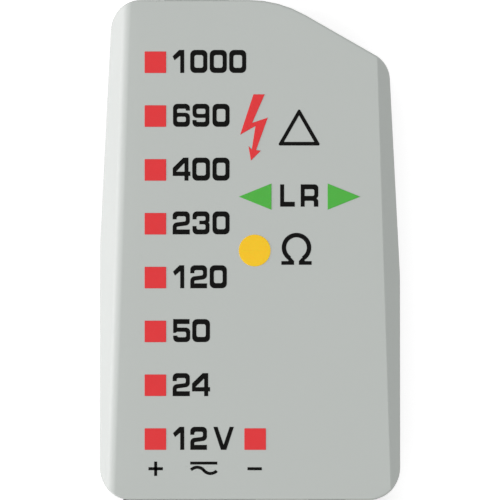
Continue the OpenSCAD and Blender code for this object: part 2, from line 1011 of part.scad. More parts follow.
module eccentric_weight() {
    low = motor_y + motor_l / 2 + weight_gap;
    color([0.5, 0.5, 0.52]) centred()
        difference() {
            union() {
                intersection() {
                    bar(motor_x, motor_z, weight_r, low + weight_l, low);
                    span_box(
                        motor_x - motor_r, motor_x + motor_r, low, low + weight_l,
                        motor_z - motor_r, motor_z
                    );
                }
                bar(motor_x, motor_z, weight_hub_r, low + weight_l, low);
            }
            bar(motor_x, motor_z, motor_shaft_r + thread_gap, low + weight_l + over, low - over);
        }
}

module battery(side) {
    x = -grip_x + side * battery_side;
    color([0.75, 0.6, 0.3]) centred() {
        bar(x, battery_z, battery_r, battery_top_y - battery_tip_t, battery_low_y);
        bar(x, battery_z, battery_tip_r, battery_top_y, battery_top_y - battery_tip_t - over);
    }
}

module battery_1() {
    battery(-1);
}

module battery_2() {
    battery(1);
}

module battery_holder() {
    top = battery_top_y + battery_end_gap;
    low = battery_low_y - battery_end_gap;
    color([0.13, 0.13, 0.14]) centred()
        difference() {
            intersection() {
                grip_body(-housing_wall - holder_gap, 0);
                span_box(
                    -head_w, head_w, low - holder_wall, top + holder_wall, battery_z, holder_top_z
                );
            }
            for (side = [-1, 1])
                bar(-grip_x + side * battery_side, battery_z, battery_r + slide_gap, top, low);
        }
}

module battery_contacts() {
    color([0.8, 0.8, 0.78]) centred()
        for (side = [-1, 1]) {
            x = -grip_x + side * battery_side;
            top = battery_top_y + battery_end_gap;
            low = battery_low_y - battery_end_gap;
            bar(x, battery_z, contact_r, top, top - contact_t);
            bar(x, battery_z, contact_bump_r, top, battery_top_y + fit);
            bar(x, battery_z, contact_r, low + contact_t, low);
            bar(x, battery_z, contact_bump_r, battery_low_y - fit, low);
        }
}

module battery_door() {
    color([0.16, 0.17, 0.18]) centred()
        difference() {
            union() {
                intersection() {
                    difference() {
                        grip_body(0, 0);
                        grip_cavity();
                    }
                    span_box(
                        -grip_x - door_half, -grip_x + door_half, low_y, door_top_y, -over, door_z
                    );
                }
                for (side = [-1, 1])
                    door_tongue(side);
            }
            for (i = [0 : door_ribs - 1])
                door_groove(grip_end_y + 2 * grip_end_r + i * door_rib_pitch);
        }
}

module door_tongue(side) {
    inner = -grip_x + side * (door_half - door_tongue_w);
    outer = -grip_x + side * (door_half + door_tongue_w);
    span_box(
        min(inner, outer), max(inner, outer), grip_end_y + grip_end_r, door_top_y,
        door_tongue_z, door_tongue_z + door_tongue_t
    );
}

module door_groove(y) {
    span_box(
        -grip_x - door_half / 2, -grip_x + door_half / 2, y, y + door_rib_w, -over, door_rib_t
    );
}

// Pan-head screw driven from the back: seat is where its head bears
module screw(r, head_r, head_t, seat, tip) {
    difference() {
        union() {
            post(r, seat, tip);
            post(head_r, seat - head_t, seat);
        }
        for (turn = [0, 90])
            rotate([0, 0, turn])
                span_box(
                    -head_r, head_r, -drive_w / 2, drive_w / 2, seat - head_t - over,
                    seat - head_t + drive_t
                );
    }
}

module housing_screws() {
    color([0.6, 0.61, 0.63]) centred() {
        head_screws_at() screw(screw_r, screw_head_r, screw_head_t, screw_seat_z, rim_z + screw_bite);
        grip_screws_at() screw(screw_r, screw_head_r, screw_head_t, grip_seat_z, axis_z + screw_bite);
    }
}

// Top of a button's flange under the round ceiling of its handle
function flange_top(r, wall_r, flat_z, spread) =
    min(flat_z, axis_z + arch(wall_r, max(r - spread / 2, 0))) - slide_gap;
test_flange_r = test_button_r + button_flange_w;
torch_flange_r2 = torch_button_r + button_flange_w;
second_flange_r = second_button_r + button_flange_w;
grip_ceiling_r = grip_r - housing_wall;
test_flange_z = flange_top(test_flange_r, grip_ceiling_r, grip_t - housing_wall, grip_spread);
torch_flange_z = flange_top(torch_flange_r2, grip_ceiling_r, grip_t - housing_wall, grip_spread);
second_front_z = axis_z + second_t / 2;
second_flange_z = flange_top(
    second_flange_r, second_r - second_wall, second_front_z - second_wall, 0
);

module push_button(x, y, r, top, flange_r, flange_z) {
    translate([x, y, 0]) {
        post(flange_r, flange_z - button_flange_t, flange_z);
        post(r, flange_z - button_flange_t, top - button_dish_t);
        translate([0, 0, top - button_dish_t])
            cylinder(h = button_dish_t, r1 = r, r2 = r - button_dish_t);
    }
}

module test_button() {
    color([0.85, 0.25, 0.2]) centred()
        push_button(
            -grip_x, test_button_y, test_button_r, grip_t + button_out, test_flange_r, test_flange_z
        );
}

module torch_button() {
    color([0.73, 0.75, 0.73]) centred()
        push_button(
            -grip_x, torch_button_y, torch_button_r, grip_t + button_out, torch_flange_r2, torch_flange_z
        );
}

// Flat switch whose stem ends just under the pressed button
module key_switch(x, y, w, z, flange_z) {
    top = flange_z - button_flange_t - button_travel - switch_gap;
    stem_z = z + (top - z) / 2;
    translate([x, y, 0]) {
        span_box(-w / 2, w / 2, -w / 2, w / 2, z, stem_z);
        post(switch_stem_r, stem_z, top);
    }
}

module test_switch() {
    color([0.7, 0.7, 0.72]) centred() key_switch(-grip_x, test_button_y, switch_w, rim_z, test_flange_z);
}

module torch_switch() {
    color([0.7, 0.7, 0.72]) centred() key_switch(-grip_x, torch_button_y, switch_w, rim_z, torch_flange_z);
}

module torch_lens() {
    color([0.85, 0.9, 0.95]) centred() {
        bar(torch_x, axis_z, torch_r, nozzle_y + torch_lens_out, inner_top_y - torch_flange_t);
        bar(torch_x, axis_z, torch_flange_r, inner_top_y, inner_top_y - torch_flange_t);
    }
}

module torch_led() {
    top = inner_top_y - torch_flange_t - torch_led_gap;
    color([0.9, 0.92, 0.9]) centred() {
        bar(torch_x, axis_z, torch_led_r, top, top - torch_led_l);
        for (side = [-1, 1])
            translate([torch_x + side * torch_led_r / 2, top - torch_led_l / 2, 0])
                post(resistor_post_r, axis_z, board_z);
    }
}

module probe_pin() {
    color([0.75, 0.72, 0.62]) centred() {
        taper(-probe_x, axis_z, point_r, pin_r, tip_y, tip_y - point_l);
        probe_bar(pin_r, tip_y - point_l, pin_end_y);
    }
}

module probe_sleeve() {
    color([0.1, 0.1, 0.11]) centred()
        difference() {
            union() {
                probe_bar(sleeve_r, sleeve_tip_y, collar_end_y);
                probe_bar(sleeve_flange_r, collar_end_y, collar_end_y - sleeve_flange_t);
            }
            probe_bar(pin_r + fit, tip_y, collar_end_y - sleeve_flange_t - over);
        }
}

module probe_contact() {
    color([0.8, 0.65, 0.3]) centred()
        span_box(
            -probe_x - contact_tab_w / 2, -probe_x + contact_tab_w / 2,
            pin_end_y - contact_tab_t, pin_end_y, axis_z - pin_r, board_z
        );
}

module tip_guard() {
    low = sleeve_tip_y + tip_guard_gap;
    color([0.75, 0.15, 0.12]) centred()
        difference() {
            union() {
                probe_bar(tip_guard_r, low + guard_l, low);
                probe_bar(tip_guard_r + tip_guard_rim, low + tip_guard_rim_l, low);
            }
            probe_bar(pin_r + fit, low + guard_l + over, low - over);
        }
}

// Short moulded inlet for the cable: collar outside, neck through the wall, flange inside
module gland(x, end_y, wall, neck_r, collar_r, flange_r) {
    inner_y = end_y + wall;
    difference() {
        union() {
            bar(x, axis_z, collar_r, end_y, end_y - gland_out);
            bar(x, axis_z, neck_r, inner_y, end_y);
            bar(x, axis_z, flange_r, inner_y + gland_flange_t, inner_y);
        }
        bar(x, axis_z, cable_r, inner_y + gland_flange_t + over, end_y - gland_out - over);
    }
}

module cable_gland() {
    color([0.09, 0.09, 0.09]) centred()
        gland(-grip_x, grip_end_y, housing_wall, gland_neck_r, gland_collar_r, gland_flange_r);
}

module second_bar(r, y0, y1) {
    bar(dock_x, axis_z, r, y0, y1);
}

// Body of the second handle, made larger all round by grow
module second_body(grow) {
    r = second_r + grow;
    intersection() {
        translate([dock_x, second_top_y, axis_z])
            rotate([90, 0, 0])
                rotate_extrude()
                    handle_profile(
                        r, second_l + grow, second_end_r + grow, second_waist_r + grow, second_waist_l, 0
                    );
        span_box(
            -head_w, head_w, second_end_y - head_w, second_top_y + over,
            axis_z - second_t / 2 - grow, axis_z + second_t / 2 + grow
        );
    }
}

module second_cavity() {
    intersection() {
        second_body(-second_wall);
        span_box(-head_w, head_w, low_y - head_w, second_top_y - second_plug_l, 0, head_t);
    }
}

module second_shell_block() {
    second_body(0);
    second_bar(second_neck_r, second_guard_y, second_top_y - over);
}

module second_holes() {
    second_bar(sleeve_r + fit, second_guard_y + over, second_top_y - second_plug_l - over);
    second_bar(second_gland_neck_r + fit, second_end_y + second_wall + over, second_end_y - over);
}

module second_screws_at() {
    for (drop = second_screw_drops)
        translate([dock_x, second_top_y - drop, 0]) children();
}

module second_front_shell() {
    color([0.16, 0.17, 0.18]) centred()
        difference() {
            upper_half()
                difference() {
                    second_shell_block();
                    difference() {
                        second_cavity();
                        second_screws_at() post(second_boss_r, axis_z, head_t);
                    }
                }
            second_holes();
            translate([dock_x, second_button_y, 0])
                post(second_button_r + slide_gap, second_board_z + over, head_t);
            second_screws_at()
                post(second_screw_r + thread_gap, axis_z - over, axis_z + screw_bite);
        }
}

second_seat_z = axis_z - second_t / 2 + second_screw_seat;

module second_rear_shell() {
    color([0.16, 0.17, 0.18]) centred()
        difference() {
            union() {
                lower_half()
                    difference() {
                        second_shell_block();
                        difference() {
                            second_cavity();
                            second_screws_at() post(second_boss_r, 0, axis_z);
                        }
                    }
                second_rib(second_board_top_y - second_rib_t);
                second_rib(second_board_top_y - second_board_l + 2 * second_rib_t);
            }
            second_holes();
            second_screws_at() {
                post(second_screw_r + slide_gap, -over, axis_z + over);
                post(second_screw_head_r + slide_gap, -over, second_seat_z);
            }
            dock_groove(second_top_y + over);
        }
}

module second_rib(y) {
    difference() {
        span_box(
            dock_x - second_board_w / 2, dock_x + second_board_w / 2, y - second_rib_t, y,
            axis_z - second_t / 2 + second_wall / 2, second_board_z
        );
        second_bar(pin_r + loose_gap, y + over, y - second_rib_t - over);
    }
}

// Groove that slides along the rail, open at its top
module dock_groove(top_y) {
    span_box(
        rail_x - over, rail_x + rail_out + slide_gap, rail_top_y - rail_l - slide_gap, top_y,
        rail_z - slide_gap, rail_z + rail_t + slide_gap
    );
}

module second_finger_guard() {
    color([0.1, 0.1, 0.11]) centred()
        difference() {
            intersection() {
                second_bar(second_guard_r, second_guard_y, second_top_y);
                span_box(
                    dock_x - guard_side, dock_x + head_w, second_top_y - over, second_guard_y + over,
                    -over, head_t
                );
            }
            second_bar(second_neck_r + fit, second_guard_y + over, second_top_y - over);
            dock_groove(second_guard_y + over);
        }
}

module second_probe_sleeve() {
    inner_y = second_top_y - second_plug_l;
    color([0.1, 0.1, 0.11]) centred()
        difference() {
            union() {
                second_bar(sleeve_r, second_guard_y + second_sleeve_l, inner_y);
                second_bar(sleeve_flange_r, inner_y, inner_y - sleeve_flange_t);
            }
            second_bar(pin_r + fit, second_tip_y, inner_y - sleeve_flange_t - over);
        }
}

module second_probe_pin() {
    color([0.75, 0.72, 0.62]) centred() {
        taper(dock_x, axis_z, point_r, pin_r, second_tip_y, second_tip_y - point_l);
        second_bar(pin_r, second_tip_y - point_l, second_top_y - second_plug_l - second_pin_in_l);
    }
}

module second_board() {
    color([0.05, 0.35, 0.2]) centred()
        span_box(
            dock_x - second_board_w / 2, dock_x + second_board_w / 2,
            second_board_top_y - second_board_l, second_board_top_y,
            second_board_z, second_board_z + second_board_t
        );
}

module second_button() {
    color([0.85, 0.25, 0.2]) centred()
        push_button(
            dock_x, second_button_y, second_button_r, second_front_z + second_button_out,
            second_flange_r, second_flange_z
        );
}

module second_switch() {
    color([0.7, 0.7, 0.72]) centred()
        key_switch(
            dock_x, second_button_y, second_switch_w, second_board_z + second_board_t, second_flange_z
        );
}

module second_resistor() {
    color([0.2, 0.35, 0.55]) centred()
        resistor(dock_x, second_resistor_y, second_board_z - resistor_r, second_board_z);
}

module second_cable_gland() {
    color([0.09, 0.09, 0.09]) centred()
        gland(
            dock_x, second_end_y, second_wall, second_gland_neck_r, second_gland_collar_r,
            second_gland_collar_r
        );
}

module second_screws() {
    color([0.6, 0.61, 0.63]) centred()
        second_screws_at()
            screw(
                second_screw_r, second_screw_head_r, second_screw_head_t, second_seat_z,
                axis_z + screw_bite - over
            );
}

module grip_screws_at() {
    at_spots(grip_screw_spots) children();
}

module head_screws_at() {
    at_spots(head_screw_spots) children();
}

display_cover();
front_housing();
rear_housing();
cover_seal();
light_mask();
level_window(0);  // level_window_1000
level_window(1);  // level_window_690
level_window(2);  // level_window_400
level_window(3);  // level_window_230
level_window(4);  // level_window_120
level_window(5);  // level_window_50
level_window(6);  // level_window_24
level_window(7);  // level_window_12
polarity_window();
danger_window();
phase_window_left();
phase_window_right();
continuity_window();
main_board();
indicator_leds();
controller_chip();
series_resistors();
buzzer();
vibration_motor();
eccentric_weight();
battery_1();
battery_2();
battery_holder();
battery_contacts();
battery_door();
housing_screws();
test_button();
test_switch();
torch_button();
torch_switch();
torch_lens();
torch_led();
probe_pin();
probe_sleeve();
probe_contact();
tip_guard();
grip_inlay();
cable_gland();
parking_socket();
second_front_shell();
second_rear_shell();
second_finger_guard();
second_probe_pin();
second_probe_sleeve();
second_board();
second_button();
second_switch();
second_resistor();
second_cable_gland();
second_screws();
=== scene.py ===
"""Two-pole voltage tester, dressed on its CAD frame: head, lamps, lettering, grip and probes.

Lengths in the classes are millimetres in the head's own frame: X to the right, Y along the
tester from the middle of the head towards the probe's point, Z up from the back.
"""

import logging
import math
from dataclasses import dataclass
from enum import Enum
from typing import Any, ClassVar, Iterable, Optional, Sequence

import bmesh
import bpy
from bmesh.types import BMEdge, BMesh, BMFace, BMVert
from bpy.types import Material, Mesh, Node, NodeSocket, NodeTree, Object
from mathutils import Matrix, Vector

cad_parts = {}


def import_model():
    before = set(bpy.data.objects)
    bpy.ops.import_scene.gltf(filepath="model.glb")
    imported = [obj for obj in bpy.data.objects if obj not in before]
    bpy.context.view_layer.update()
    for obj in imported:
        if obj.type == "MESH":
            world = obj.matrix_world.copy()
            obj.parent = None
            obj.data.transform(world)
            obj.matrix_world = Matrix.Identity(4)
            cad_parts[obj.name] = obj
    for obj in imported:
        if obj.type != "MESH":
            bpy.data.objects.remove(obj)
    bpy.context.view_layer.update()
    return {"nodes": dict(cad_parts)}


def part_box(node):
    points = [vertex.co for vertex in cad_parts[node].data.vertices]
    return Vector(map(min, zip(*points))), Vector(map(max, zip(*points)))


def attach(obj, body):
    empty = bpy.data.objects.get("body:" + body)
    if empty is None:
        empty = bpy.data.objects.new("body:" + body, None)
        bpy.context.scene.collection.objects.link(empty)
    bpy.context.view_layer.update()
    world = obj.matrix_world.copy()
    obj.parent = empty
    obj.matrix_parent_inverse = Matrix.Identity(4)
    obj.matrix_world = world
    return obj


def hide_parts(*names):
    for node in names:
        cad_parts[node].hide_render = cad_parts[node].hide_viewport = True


LOG = logging.getLogger("tester")
MM = 0.001
UP = Vector((0, 0, 1))
ALONG = Vector((0, 1, 0))
# Step of a rounded corner, the largest turn that shades as one, and the distance in millimetres
# at which two points are one.
ARC_STEP = math.radians(7.5)
SMOOTH_ANGLE = math.radians(32)
SAME_POINT = 1e-4
# Height of the head's face, and the axes of the main pin, the grip and the second probe.
FACE_Z = 33.0
AXIS_Z = 14.0
MAIN_X = -11.5
GRIP_X = -13.0
SECOND_X = 16.5


class Body(Enum):
    """Bodies of the frame that the pieces ride on."""

    TESTER = "tester"
    SECOND = "second_probe"
    SECOND_KEY = "second_key"
    TEST_KEY = "test_key"
    TORCH_KEY = "torch_key"
    TIP_COVER = "tip_cover"


class Side(Enum):
    """The two sides of the head, as seen from the front."""

    LEFT = -1
    RIGHT = 1


@dataclass(frozen=True)
class Corner:
    """Corner of a flat outline, with the radius that rounds it."""

    x: float
    y: float
    radius: float = 0.0

    def at(self, z: float) -> Vector:
        """The corner's sharp point at a height."""
        return Vector((self.x, self.y, z))


Loop = Sequence[Corner]
Points = Sequence[tuple[float, float]]


def corners(*points: tuple[float, ...]) -> Loop:
    """Corners from an X, a Y and, where it is rounded, a radius each."""
    return [Corner(*point) for point in points]


def shifted(loop: Loop, x: float, y: float) -> Loop:
    """A loop moved across and along."""
    return [Corner(c.x + x, c.y + y, c.radius) for c in loop]


def box_loop(x0: float, y0: float, x1: float, y1: float, radius: float = 0.0) -> Loop:
    """Rectangle from its lower left to its upper right corner, rounded by a radius."""
    return corners((x0, y0, radius), (x1, y0, radius), (x1, y1, radius), (x0, y1, radius))


def box_about(x: float, y: float, across: float, along: float, radius: float = 0.0) -> Loop:
    """Rectangle about its middle, from its two half widths, rounded by a radius."""
    return box_loop(x - across, y - along, x + across, y + along, radius)


# Colours and nodes


def linear(colour: str) -> tuple[float, float, float, float]:
    """Turns an sRGB hex colour into linear values.

    Args:
        colour: Six hex digits after a hash sign.

    Returns:
        Red, green, blue and an alpha of 1.
    """
    parts = [int(colour[i : i + 2], 16) / 255 for i in (1, 3, 5)]
    red, green, blue = (c / 12.92 if c <= 0.04045 else ((c + 0.055) / 1.055) ** 2.4 for c in parts)
    return (red, green, blue, 1.0)


def per_mm(size: float) -> float:
    """Texture scale at which one lump is so many millimetres wide."""
    return 1 / (size * MM)


def add_node(
    tree: NodeTree, kind: str, values: Optional[dict[Any, Any]] = None,
    links: Optional[dict[Any, Any]] = None, **settings: Any,
) -> Node:
    """Adds a node with its settings and links.

    Args:
        tree: Node tree that gets the node.
        kind: Blender's name of the node type.
        values: Input socket name or index, and the value that it holds.
        links: Input socket name or index, and the output socket that feeds it.
        **settings: Properties of the node itself.

    Returns:
        The new node.
    """
    node = tree.nodes.new(kind)
    for key, setting in settings.items():
        setattr(node, key, setting)
    for key, value in (values or {}).items():
        node.inputs[key].default_value = value
    for key, source in (links or {}).items():
        tree.links.new(source, node.inputs[key])
    return node


def empty_tree(owner: Any) -> NodeTree:
    """Turns on the nodes of a material or a world, and clears them."""
    owner.use_nodes = True
    owner.node_tree.nodes.clear()
    return owner.node_tree


# Finishes


@dataclass(frozen=True)
class Finish:
    """Finish of one real material: its colour, how rough it is and how its surface was made.

    The grain is the width and depth in millimetres of the lumps of its texture, and the stretch
    multiplies their number along each axis. The mottle is the width in millimetres of the patches
    in which the colour drifts, and how far it drifts, as a share. The spread is how far the
    roughness strays. The edge is the radius in millimetres at which edges catch the light. The
    sockets are the constants of its kind on the shader itself.
    """

    name: str
    slot: str
    colour: str
    roughness: float
    grain: tuple[float, float]
    mottle: tuple[float, float] = (6.0, 0.05)
    spread: float = 0.05
    edge: float = 0.0
    gloss: float = 0.35
    stretch: tuple[float, float, float] = (1.0, 1.0, 1.0)
    sockets: ClassVar[dict[str, Any]] = {"IOR": 1.5}

    def colour_link(self, tree: NodeTree, place: NodeSocket) -> NodeSocket:
        """Colour with its slow drift.

        Args:
            tree: The material's nodes.
            place: Socket with the Object coordinates.

        Returns:
            The colour's output socket.
        """
        size, drift = self.mottle
        base = linear(self.colour)[:3]
        dark = (*(c * (1 - drift) for c in base), 1.0)
        light = (*(min(c * (1 + drift), 1.0) for c in base), 1.0)
        cloud = add_node(
            tree, "ShaderNodeTexNoise", {"Scale": per_mm(size), "Detail": 3.0}, {"Vector": place}
        )
        # The Mix node's inputs 6 and 7 are its two colours, and its output 2 is their mix.
        mix = add_node(
            tree, "ShaderNodeMix", {6: dark, 7: light}, {0: cloud.outputs["Fac"]}, data_type="RGBA"
        )
        return mix.outputs[2]

    def material(self) -> Material:
        """Builds the material, or returns the one built before."""
        made = bpy.data.materials.get(self.name)
        if made:
            return made
        made = bpy.data.materials.new(self.name)
        tree = empty_tree(made)
        size, depth = self.grain
        place = add_node(tree, "ShaderNodeTexCoord").outputs["Object"]
        stretched = add_node(tree, "ShaderNodeMapping", {"Scale": self.stretch}, {"Vector": place})
        grain = add_node(
            tree,
            "ShaderNodeTexNoise",
            {"Scale": per_mm(size), "Detail": 2.0, "Roughness": 0.55},
            {"Vector": stretched.outputs["Vector"]},
        ).outputs["Fac"]
        relief = {"Height": grain}
        if self.edge:
            softened = add_node(tree, "ShaderNodeBevel", {"Radius": self.edge * MM}, samples=6)
            relief["Normal"] = softened.outputs["Normal"]
        bump = add_node(tree, "ShaderNodeBump", {"Strength": 1.0, "Distance": depth * MM}, relief)
        limits = {"To Min": self.roughness - self.spread, "To Max": self.roughness + self.spread}
        rough = add_node(tree, "ShaderNodeMapRange", limits, {"Value": grain})
        shader = add_node(
            tree,
            "ShaderNodeBsdfPrincipled",
            {"Specular IOR Level": self.gloss, **self.sockets},
            {
                "Base Color": self.colour_link(tree, place),
                "Roughness": rough.outputs["Result"],
                "Normal": bump.outputs["Normal"],
            },
        )
        add_node(tree, "ShaderNodeOutputMaterial", links={"Surface": shader.outputs["BSDF"]})
        return made


@dataclass(frozen=True)
class MouldedPlastic(Finish):
    """Injection-moulded plastic with a fine spark-eroded texture, dull and even."""


@dataclass(frozen=True)
class SoftRubber(Finish):
    """Moulded rubber or silicone: dull, with a soft bloom at a low angle."""

    sockets: ClassVar[dict[str, Any]] = {"IOR": 1.5, "Sheen Weight": 0.15, "Sheen Roughness": 0.5}


@dataclass(frozen=True)
class TintedLens(Finish):
    """Translucent plastic of an unlit lamp or its window: an even, slightly deep colour."""

    sockets: ClassVar[dict[str, Any]] = {
        "IOR": 1.585,
        "Subsurface Weight": 0.2,
        "Subsurface Radius": (1.0, 0.4, 0.3),
        "Subsurface Scale": 0.5 * MM,
    }


@dataclass(frozen=True)
class ClearPlastic(Finish):
    """Polished clear polycarbonate, seen as a dark gloss with the torch behind it."""

    gloss: float = 0.5
    sockets: ClassVar[dict[str, Any]] = {"IOR": 1.585, "Transmission Weight": 0.9}


@dataclass(frozen=True)
class Metal(Finish):
    """Bare or plated metal with the fine marks of its turning or drawing."""

    gloss: float = 0.5
    sockets: ClassVar[dict[str, Any]] = {"Metallic": 1.0}


@dataclass(frozen=True)
class Banded(Finish):
    """Lacquered or printed part, with a band of a second colour across its length at each pitch."""

    band: str = "#C9A227"
    pitch: float = 18.85

    def colour_link(self, tree: NodeTree, place: NodeSocket) -> NodeSocket:
        """Bands across the length.

        Args:
            tree: The material's nodes.
            place: Socket with the Object coordinates.

        Returns:
            The colour's output socket.
        """
        # The wave's phase grows by 20 radians for each unit of its scale.
        wave = add_node(
            tree,
            "ShaderNodeTexWave",
            {"Scale": math.tau * per_mm(self.pitch) / 20, "Distortion": 0.0},
            {"Vector": place},
            bands_direction="Y",
        )
        steps = add_node(tree, "ShaderNodeValToRGB", links={"Fac": wave.outputs["Fac"]})
        steps.color_ramp.interpolation = "CONSTANT"
        body, band = steps.color_ramp.elements
        body.color = linear(self.colour)
        band.color = linear(self.band)
        band.position = 0.8
        return steps.outputs["Color"]


@dataclass(frozen=True)
class SolderMask(Finish):
    """Green solder mask over copper tracks, which show as lighter lines across the board."""

    track: str = "#2F7D4F"
    pitch: float = 1.4
    track_width: float = 0.09
    run: float = 8.0

    def colour_link(self, tree: NodeTree, place: NodeSocket) -> NodeSocket:
        """Tracks under the mask, with their width and run as shares of their pitch.

        Args:
            tree: The material's nodes.
            place: Socket with the Object coordinates.

        Returns:
            The colour's output socket.
        """
        grid = add_node(
            tree,
            "ShaderNodeTexBrick",
            {
                "Scale": per_mm(self.pitch),
                "Mortar Size": self.track_width,
                "Brick Width": self.run,
                "Row Height": 1.0,
                "Color1": linear(self.colour),
                "Color2": linear(self.colour),
                "Mortar": linear(self.track),
            },
            {"Vector": place},
            offset=0.37,
            offset_frequency=3,
        )
        return grid.outputs["Color"]


# The real moulded and turned textures are about 0.1 mm fine or finer. The grains below are drawn
# coarser, 0.4 to 0.9 mm, so that they show, and kept shallow so that they look as fine.

# Light grey ABS of the display cover: a dull, even shell with soft highlights.
COVER_ABS = MouldedPlastic(
    "abs_light_grey_moulded", "cover_plastic", "#BCC1BD", 0.55, (0.7, 0.006), (18.0, 0.012), 0.04
)
# Dark glass-filled nylon of the housings: rougher and cloudier, with edges that catch the light.
HOUSING_NYLON = MouldedPlastic(
    "nylon_dark_grey_moulded", "housing_plastic", "#2A2B2D", 0.55, (0.7, 0.02), (10.0, 0.1), 0.08,
    edge=0.25,
)
# Black rubber of the seal, the ribbed grips, the guard and the cable inlets: nearly no gloss.
BLACK_RUBBER = SoftRubber(
    "rubber_black_moulded", "soft_rubber", "#17181A", 0.72, (0.9, 0.02), (8.0, 0.12), 0.06,
    edge=0.15,
)
# Black ABS inside the housings: plain and dark, so that each lamp lights only its own window.
MASK_BLACK = MouldedPlastic(
    "abs_black_moulded", "mask_plastic", "#121212", 0.6, (0.7, 0.01), (12.0, 0.08)
)
# Pad-printed ink: flat black with the faint unevenness of the pad.
PAD_INK = MouldedPlastic(
    "ink_black_pad_printed", "mask_plastic", "#151514", 0.8, (0.5, 0.002), (3.0, 0.1), gloss=0.03
)


def lens_of(tint: str, colour: str) -> TintedLens:
    """Dyed polycarbonate of a lamp window: one clean colour, matt so that it reads in daylight."""
    return TintedLens(
        f"polycarbonate_{tint}_moulded", f"{tint}_lens", colour, 0.45, (0.8, 0.003), (2.5, 0.03),
        gloss=0.12,
    )


RED_LENS = lens_of("red", "#E4363A")
GREEN_LENS = lens_of("green", "#50B443")
YELLOW_LENS = lens_of("yellow", "#FFCC22")
# Silicone of the keys: matt and a little velvety, red where it tests and grey for the torch.
RED_KEY = SoftRubber(
    "silicone_red_moulded", "key_plastic", "#C23A33", 0.6, (0.7, 0.012), (4.0, 0.05)
)
GREY_KEY = SoftRubber(
    "silicone_grey_moulded", "cover_plastic", "#B4B9B6", 0.6, (0.7, 0.012), (4.0, 0.04)
)
# Red polypropylene of the tip guard: a waxy half gloss that its ribs break up.
GUARD_RED = MouldedPlastic(
    "polypropylene_red_moulded", "guard_plastic", "#B82B22", 0.45, (0.8, 0.006), (5.0, 0.05), 0.06
)
# Black polyamide sleeves of the pins: smoother than the housings, with a line of light along them.
SLEEVE_BLACK = MouldedPlastic(
    "polyamide_black_moulded", "sleeve_plastic", "#141416", 0.42, (0.6, 0.006), (6.0, 0.08), 0.06
)
# Turned pins under nickel: bright and slightly warm, with rings round them from the tool.
NICKEL_PIN = Metal(
    "nickel_plated_turned", "pin_metal", "#C9C7C0", 0.24, (0.5, 0.004), (6.0, 0.05), 0.06,
    stretch=(0.4, 3.0, 0.4),
)
# Zinc-plated screws: a cool, duller grey.
SCREW_STEEL = Metal(
    "steel_zinc_plated", "screw_steel", "#9A9DA1", 0.34, (0.4, 0.004), (2.0, 0.06), 0.06
)
# Drawn steel of the motor and the switches: bright, with faint lines along the draw.
CAN_STEEL = Metal(
    "steel_drawn", "motor_steel", "#B8BABD", 0.32, (0.6, 0.004), (5.0, 0.05),
    stretch=(1.0, 0.2, 1.0),
)
# Stamped brass contacts: yellow metal, a little dulled by handling.
CONTACT_BRASS = Metal(
    "brass_stamped", "contact_metal", "#C9AC66", 0.3, (0.5, 0.004), (4.0, 0.06)
)
# Printed wrap of the cells: smooth copper brown beside black.
CELL_WRAP = Banded(
    "steel_printed_wrap", "battery_can", "#A8843F", 0.35, (0.8, 0.002), band="#1B1B1D", pitch=150.8
)
# Lacquer of the resistors: glossy blue, with the ochre band mostly on the leads at their ends.
RESISTOR_LACQUER = Banded("lacquer_blue_banded", "resistor_body", "#3B6C9E", 0.3, (0.6, 0.004))
# Solder mask of the boards: satin green, with the tracks drawn coarser than real ones to show.
BOARD_MASK = SolderMask("solder_mask_green", "board", "#1C5A38", 0.35, (0.8, 0.004), spread=0.06)
# Cast epoxy of the lamps: milky and glossy.
LED_EPOXY = TintedLens(
    "epoxy_cream_cast", "led_body", "#E9E2C8", 0.3, (0.6, 0.002), (2.0, 0.03), 0.04
)
# Moulded epoxy of the chip and the buzzer: near black, with a dry fine grain.
CHIP_EPOXY = MouldedPlastic(
    "epoxy_black_moulded", "chip_body", "#111214", 0.55, (0.4, 0.006), (4.0, 0.08), 0.06
)
# Polished polycarbonate of the torch lens: clear, with sharp reflections.
TORCH_CLEAR = ClearPlastic(
    "polycarbonate_clear_polished", "clear_lens", "#E8EEF2", 0.08, (0.8, 0.001), (5.0, 0.01), 0.02
)

DRESSED_NODES: dict[Finish, tuple[str, ...]] = {
    HOUSING_NYLON: (
        "front_housing", "rear_housing", "second_front_shell", "second_rear_shell", "battery_door",
    ),
    BLACK_RUBBER: ("cover_seal", "second_finger_guard"),
    MASK_BLACK: ("light_mask", "battery_holder", "parking_socket"),
    BOARD_MASK: ("main_board", "second_board"),
    LED_EPOXY: ("indicator_leds", "torch_led"),
    CHIP_EPOXY: ("controller_chip", "buzzer"),
    RESISTOR_LACQUER: ("series_resistors", "second_resistor"),
    CAN_STEEL: (
        "vibration_motor", "eccentric_weight", "test_switch", "torch_switch", "second_switch",
    ),
    CELL_WRAP: ("battery_1", "battery_2"),
    CONTACT_BRASS: ("battery_contacts", "probe_contact"),
    SCREW_STEEL: ("housing_screws", "second_screws"),
    TORCH_CLEAR: ("torch_lens",),
    SLEEVE_BLACK: ("probe_sleeve", "second_probe_sleeve"),
}


# Mesh tools


def head_matrix() -> Matrix:
    """Matrix from millimetres in the head's frame to metres in the CAD's frame."""
    cover_low, cover_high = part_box("display_cover")
    middle = (cover_low + cover_high) / 2
    return Matrix.Translation((middle.x, middle.y, 0.0)) @ Matrix.Scale(MM, 4)


def only(items: Iterable[Any], kind: type) -> list[Any]:
    """The items of one kind, such as the edges in an operator's result."""
    return [item for item in items if isinstance(item, kind)]


def mesh_data(name: str, mesh: BMesh) -> Mesh:
    """Mesh data with a name from a mesh, which is freed."""
    data = bpy.data.meshes.new(name)
    mesh.to_mesh(data)
    mesh.free()
    return data


def add_object(name: str, data: Any) -> Object:
    """Adds an object with its data to the scene."""
    made = bpy.data.objects.new(name, data)
    bpy.context.scene.collection.objects.link(made)
    return made


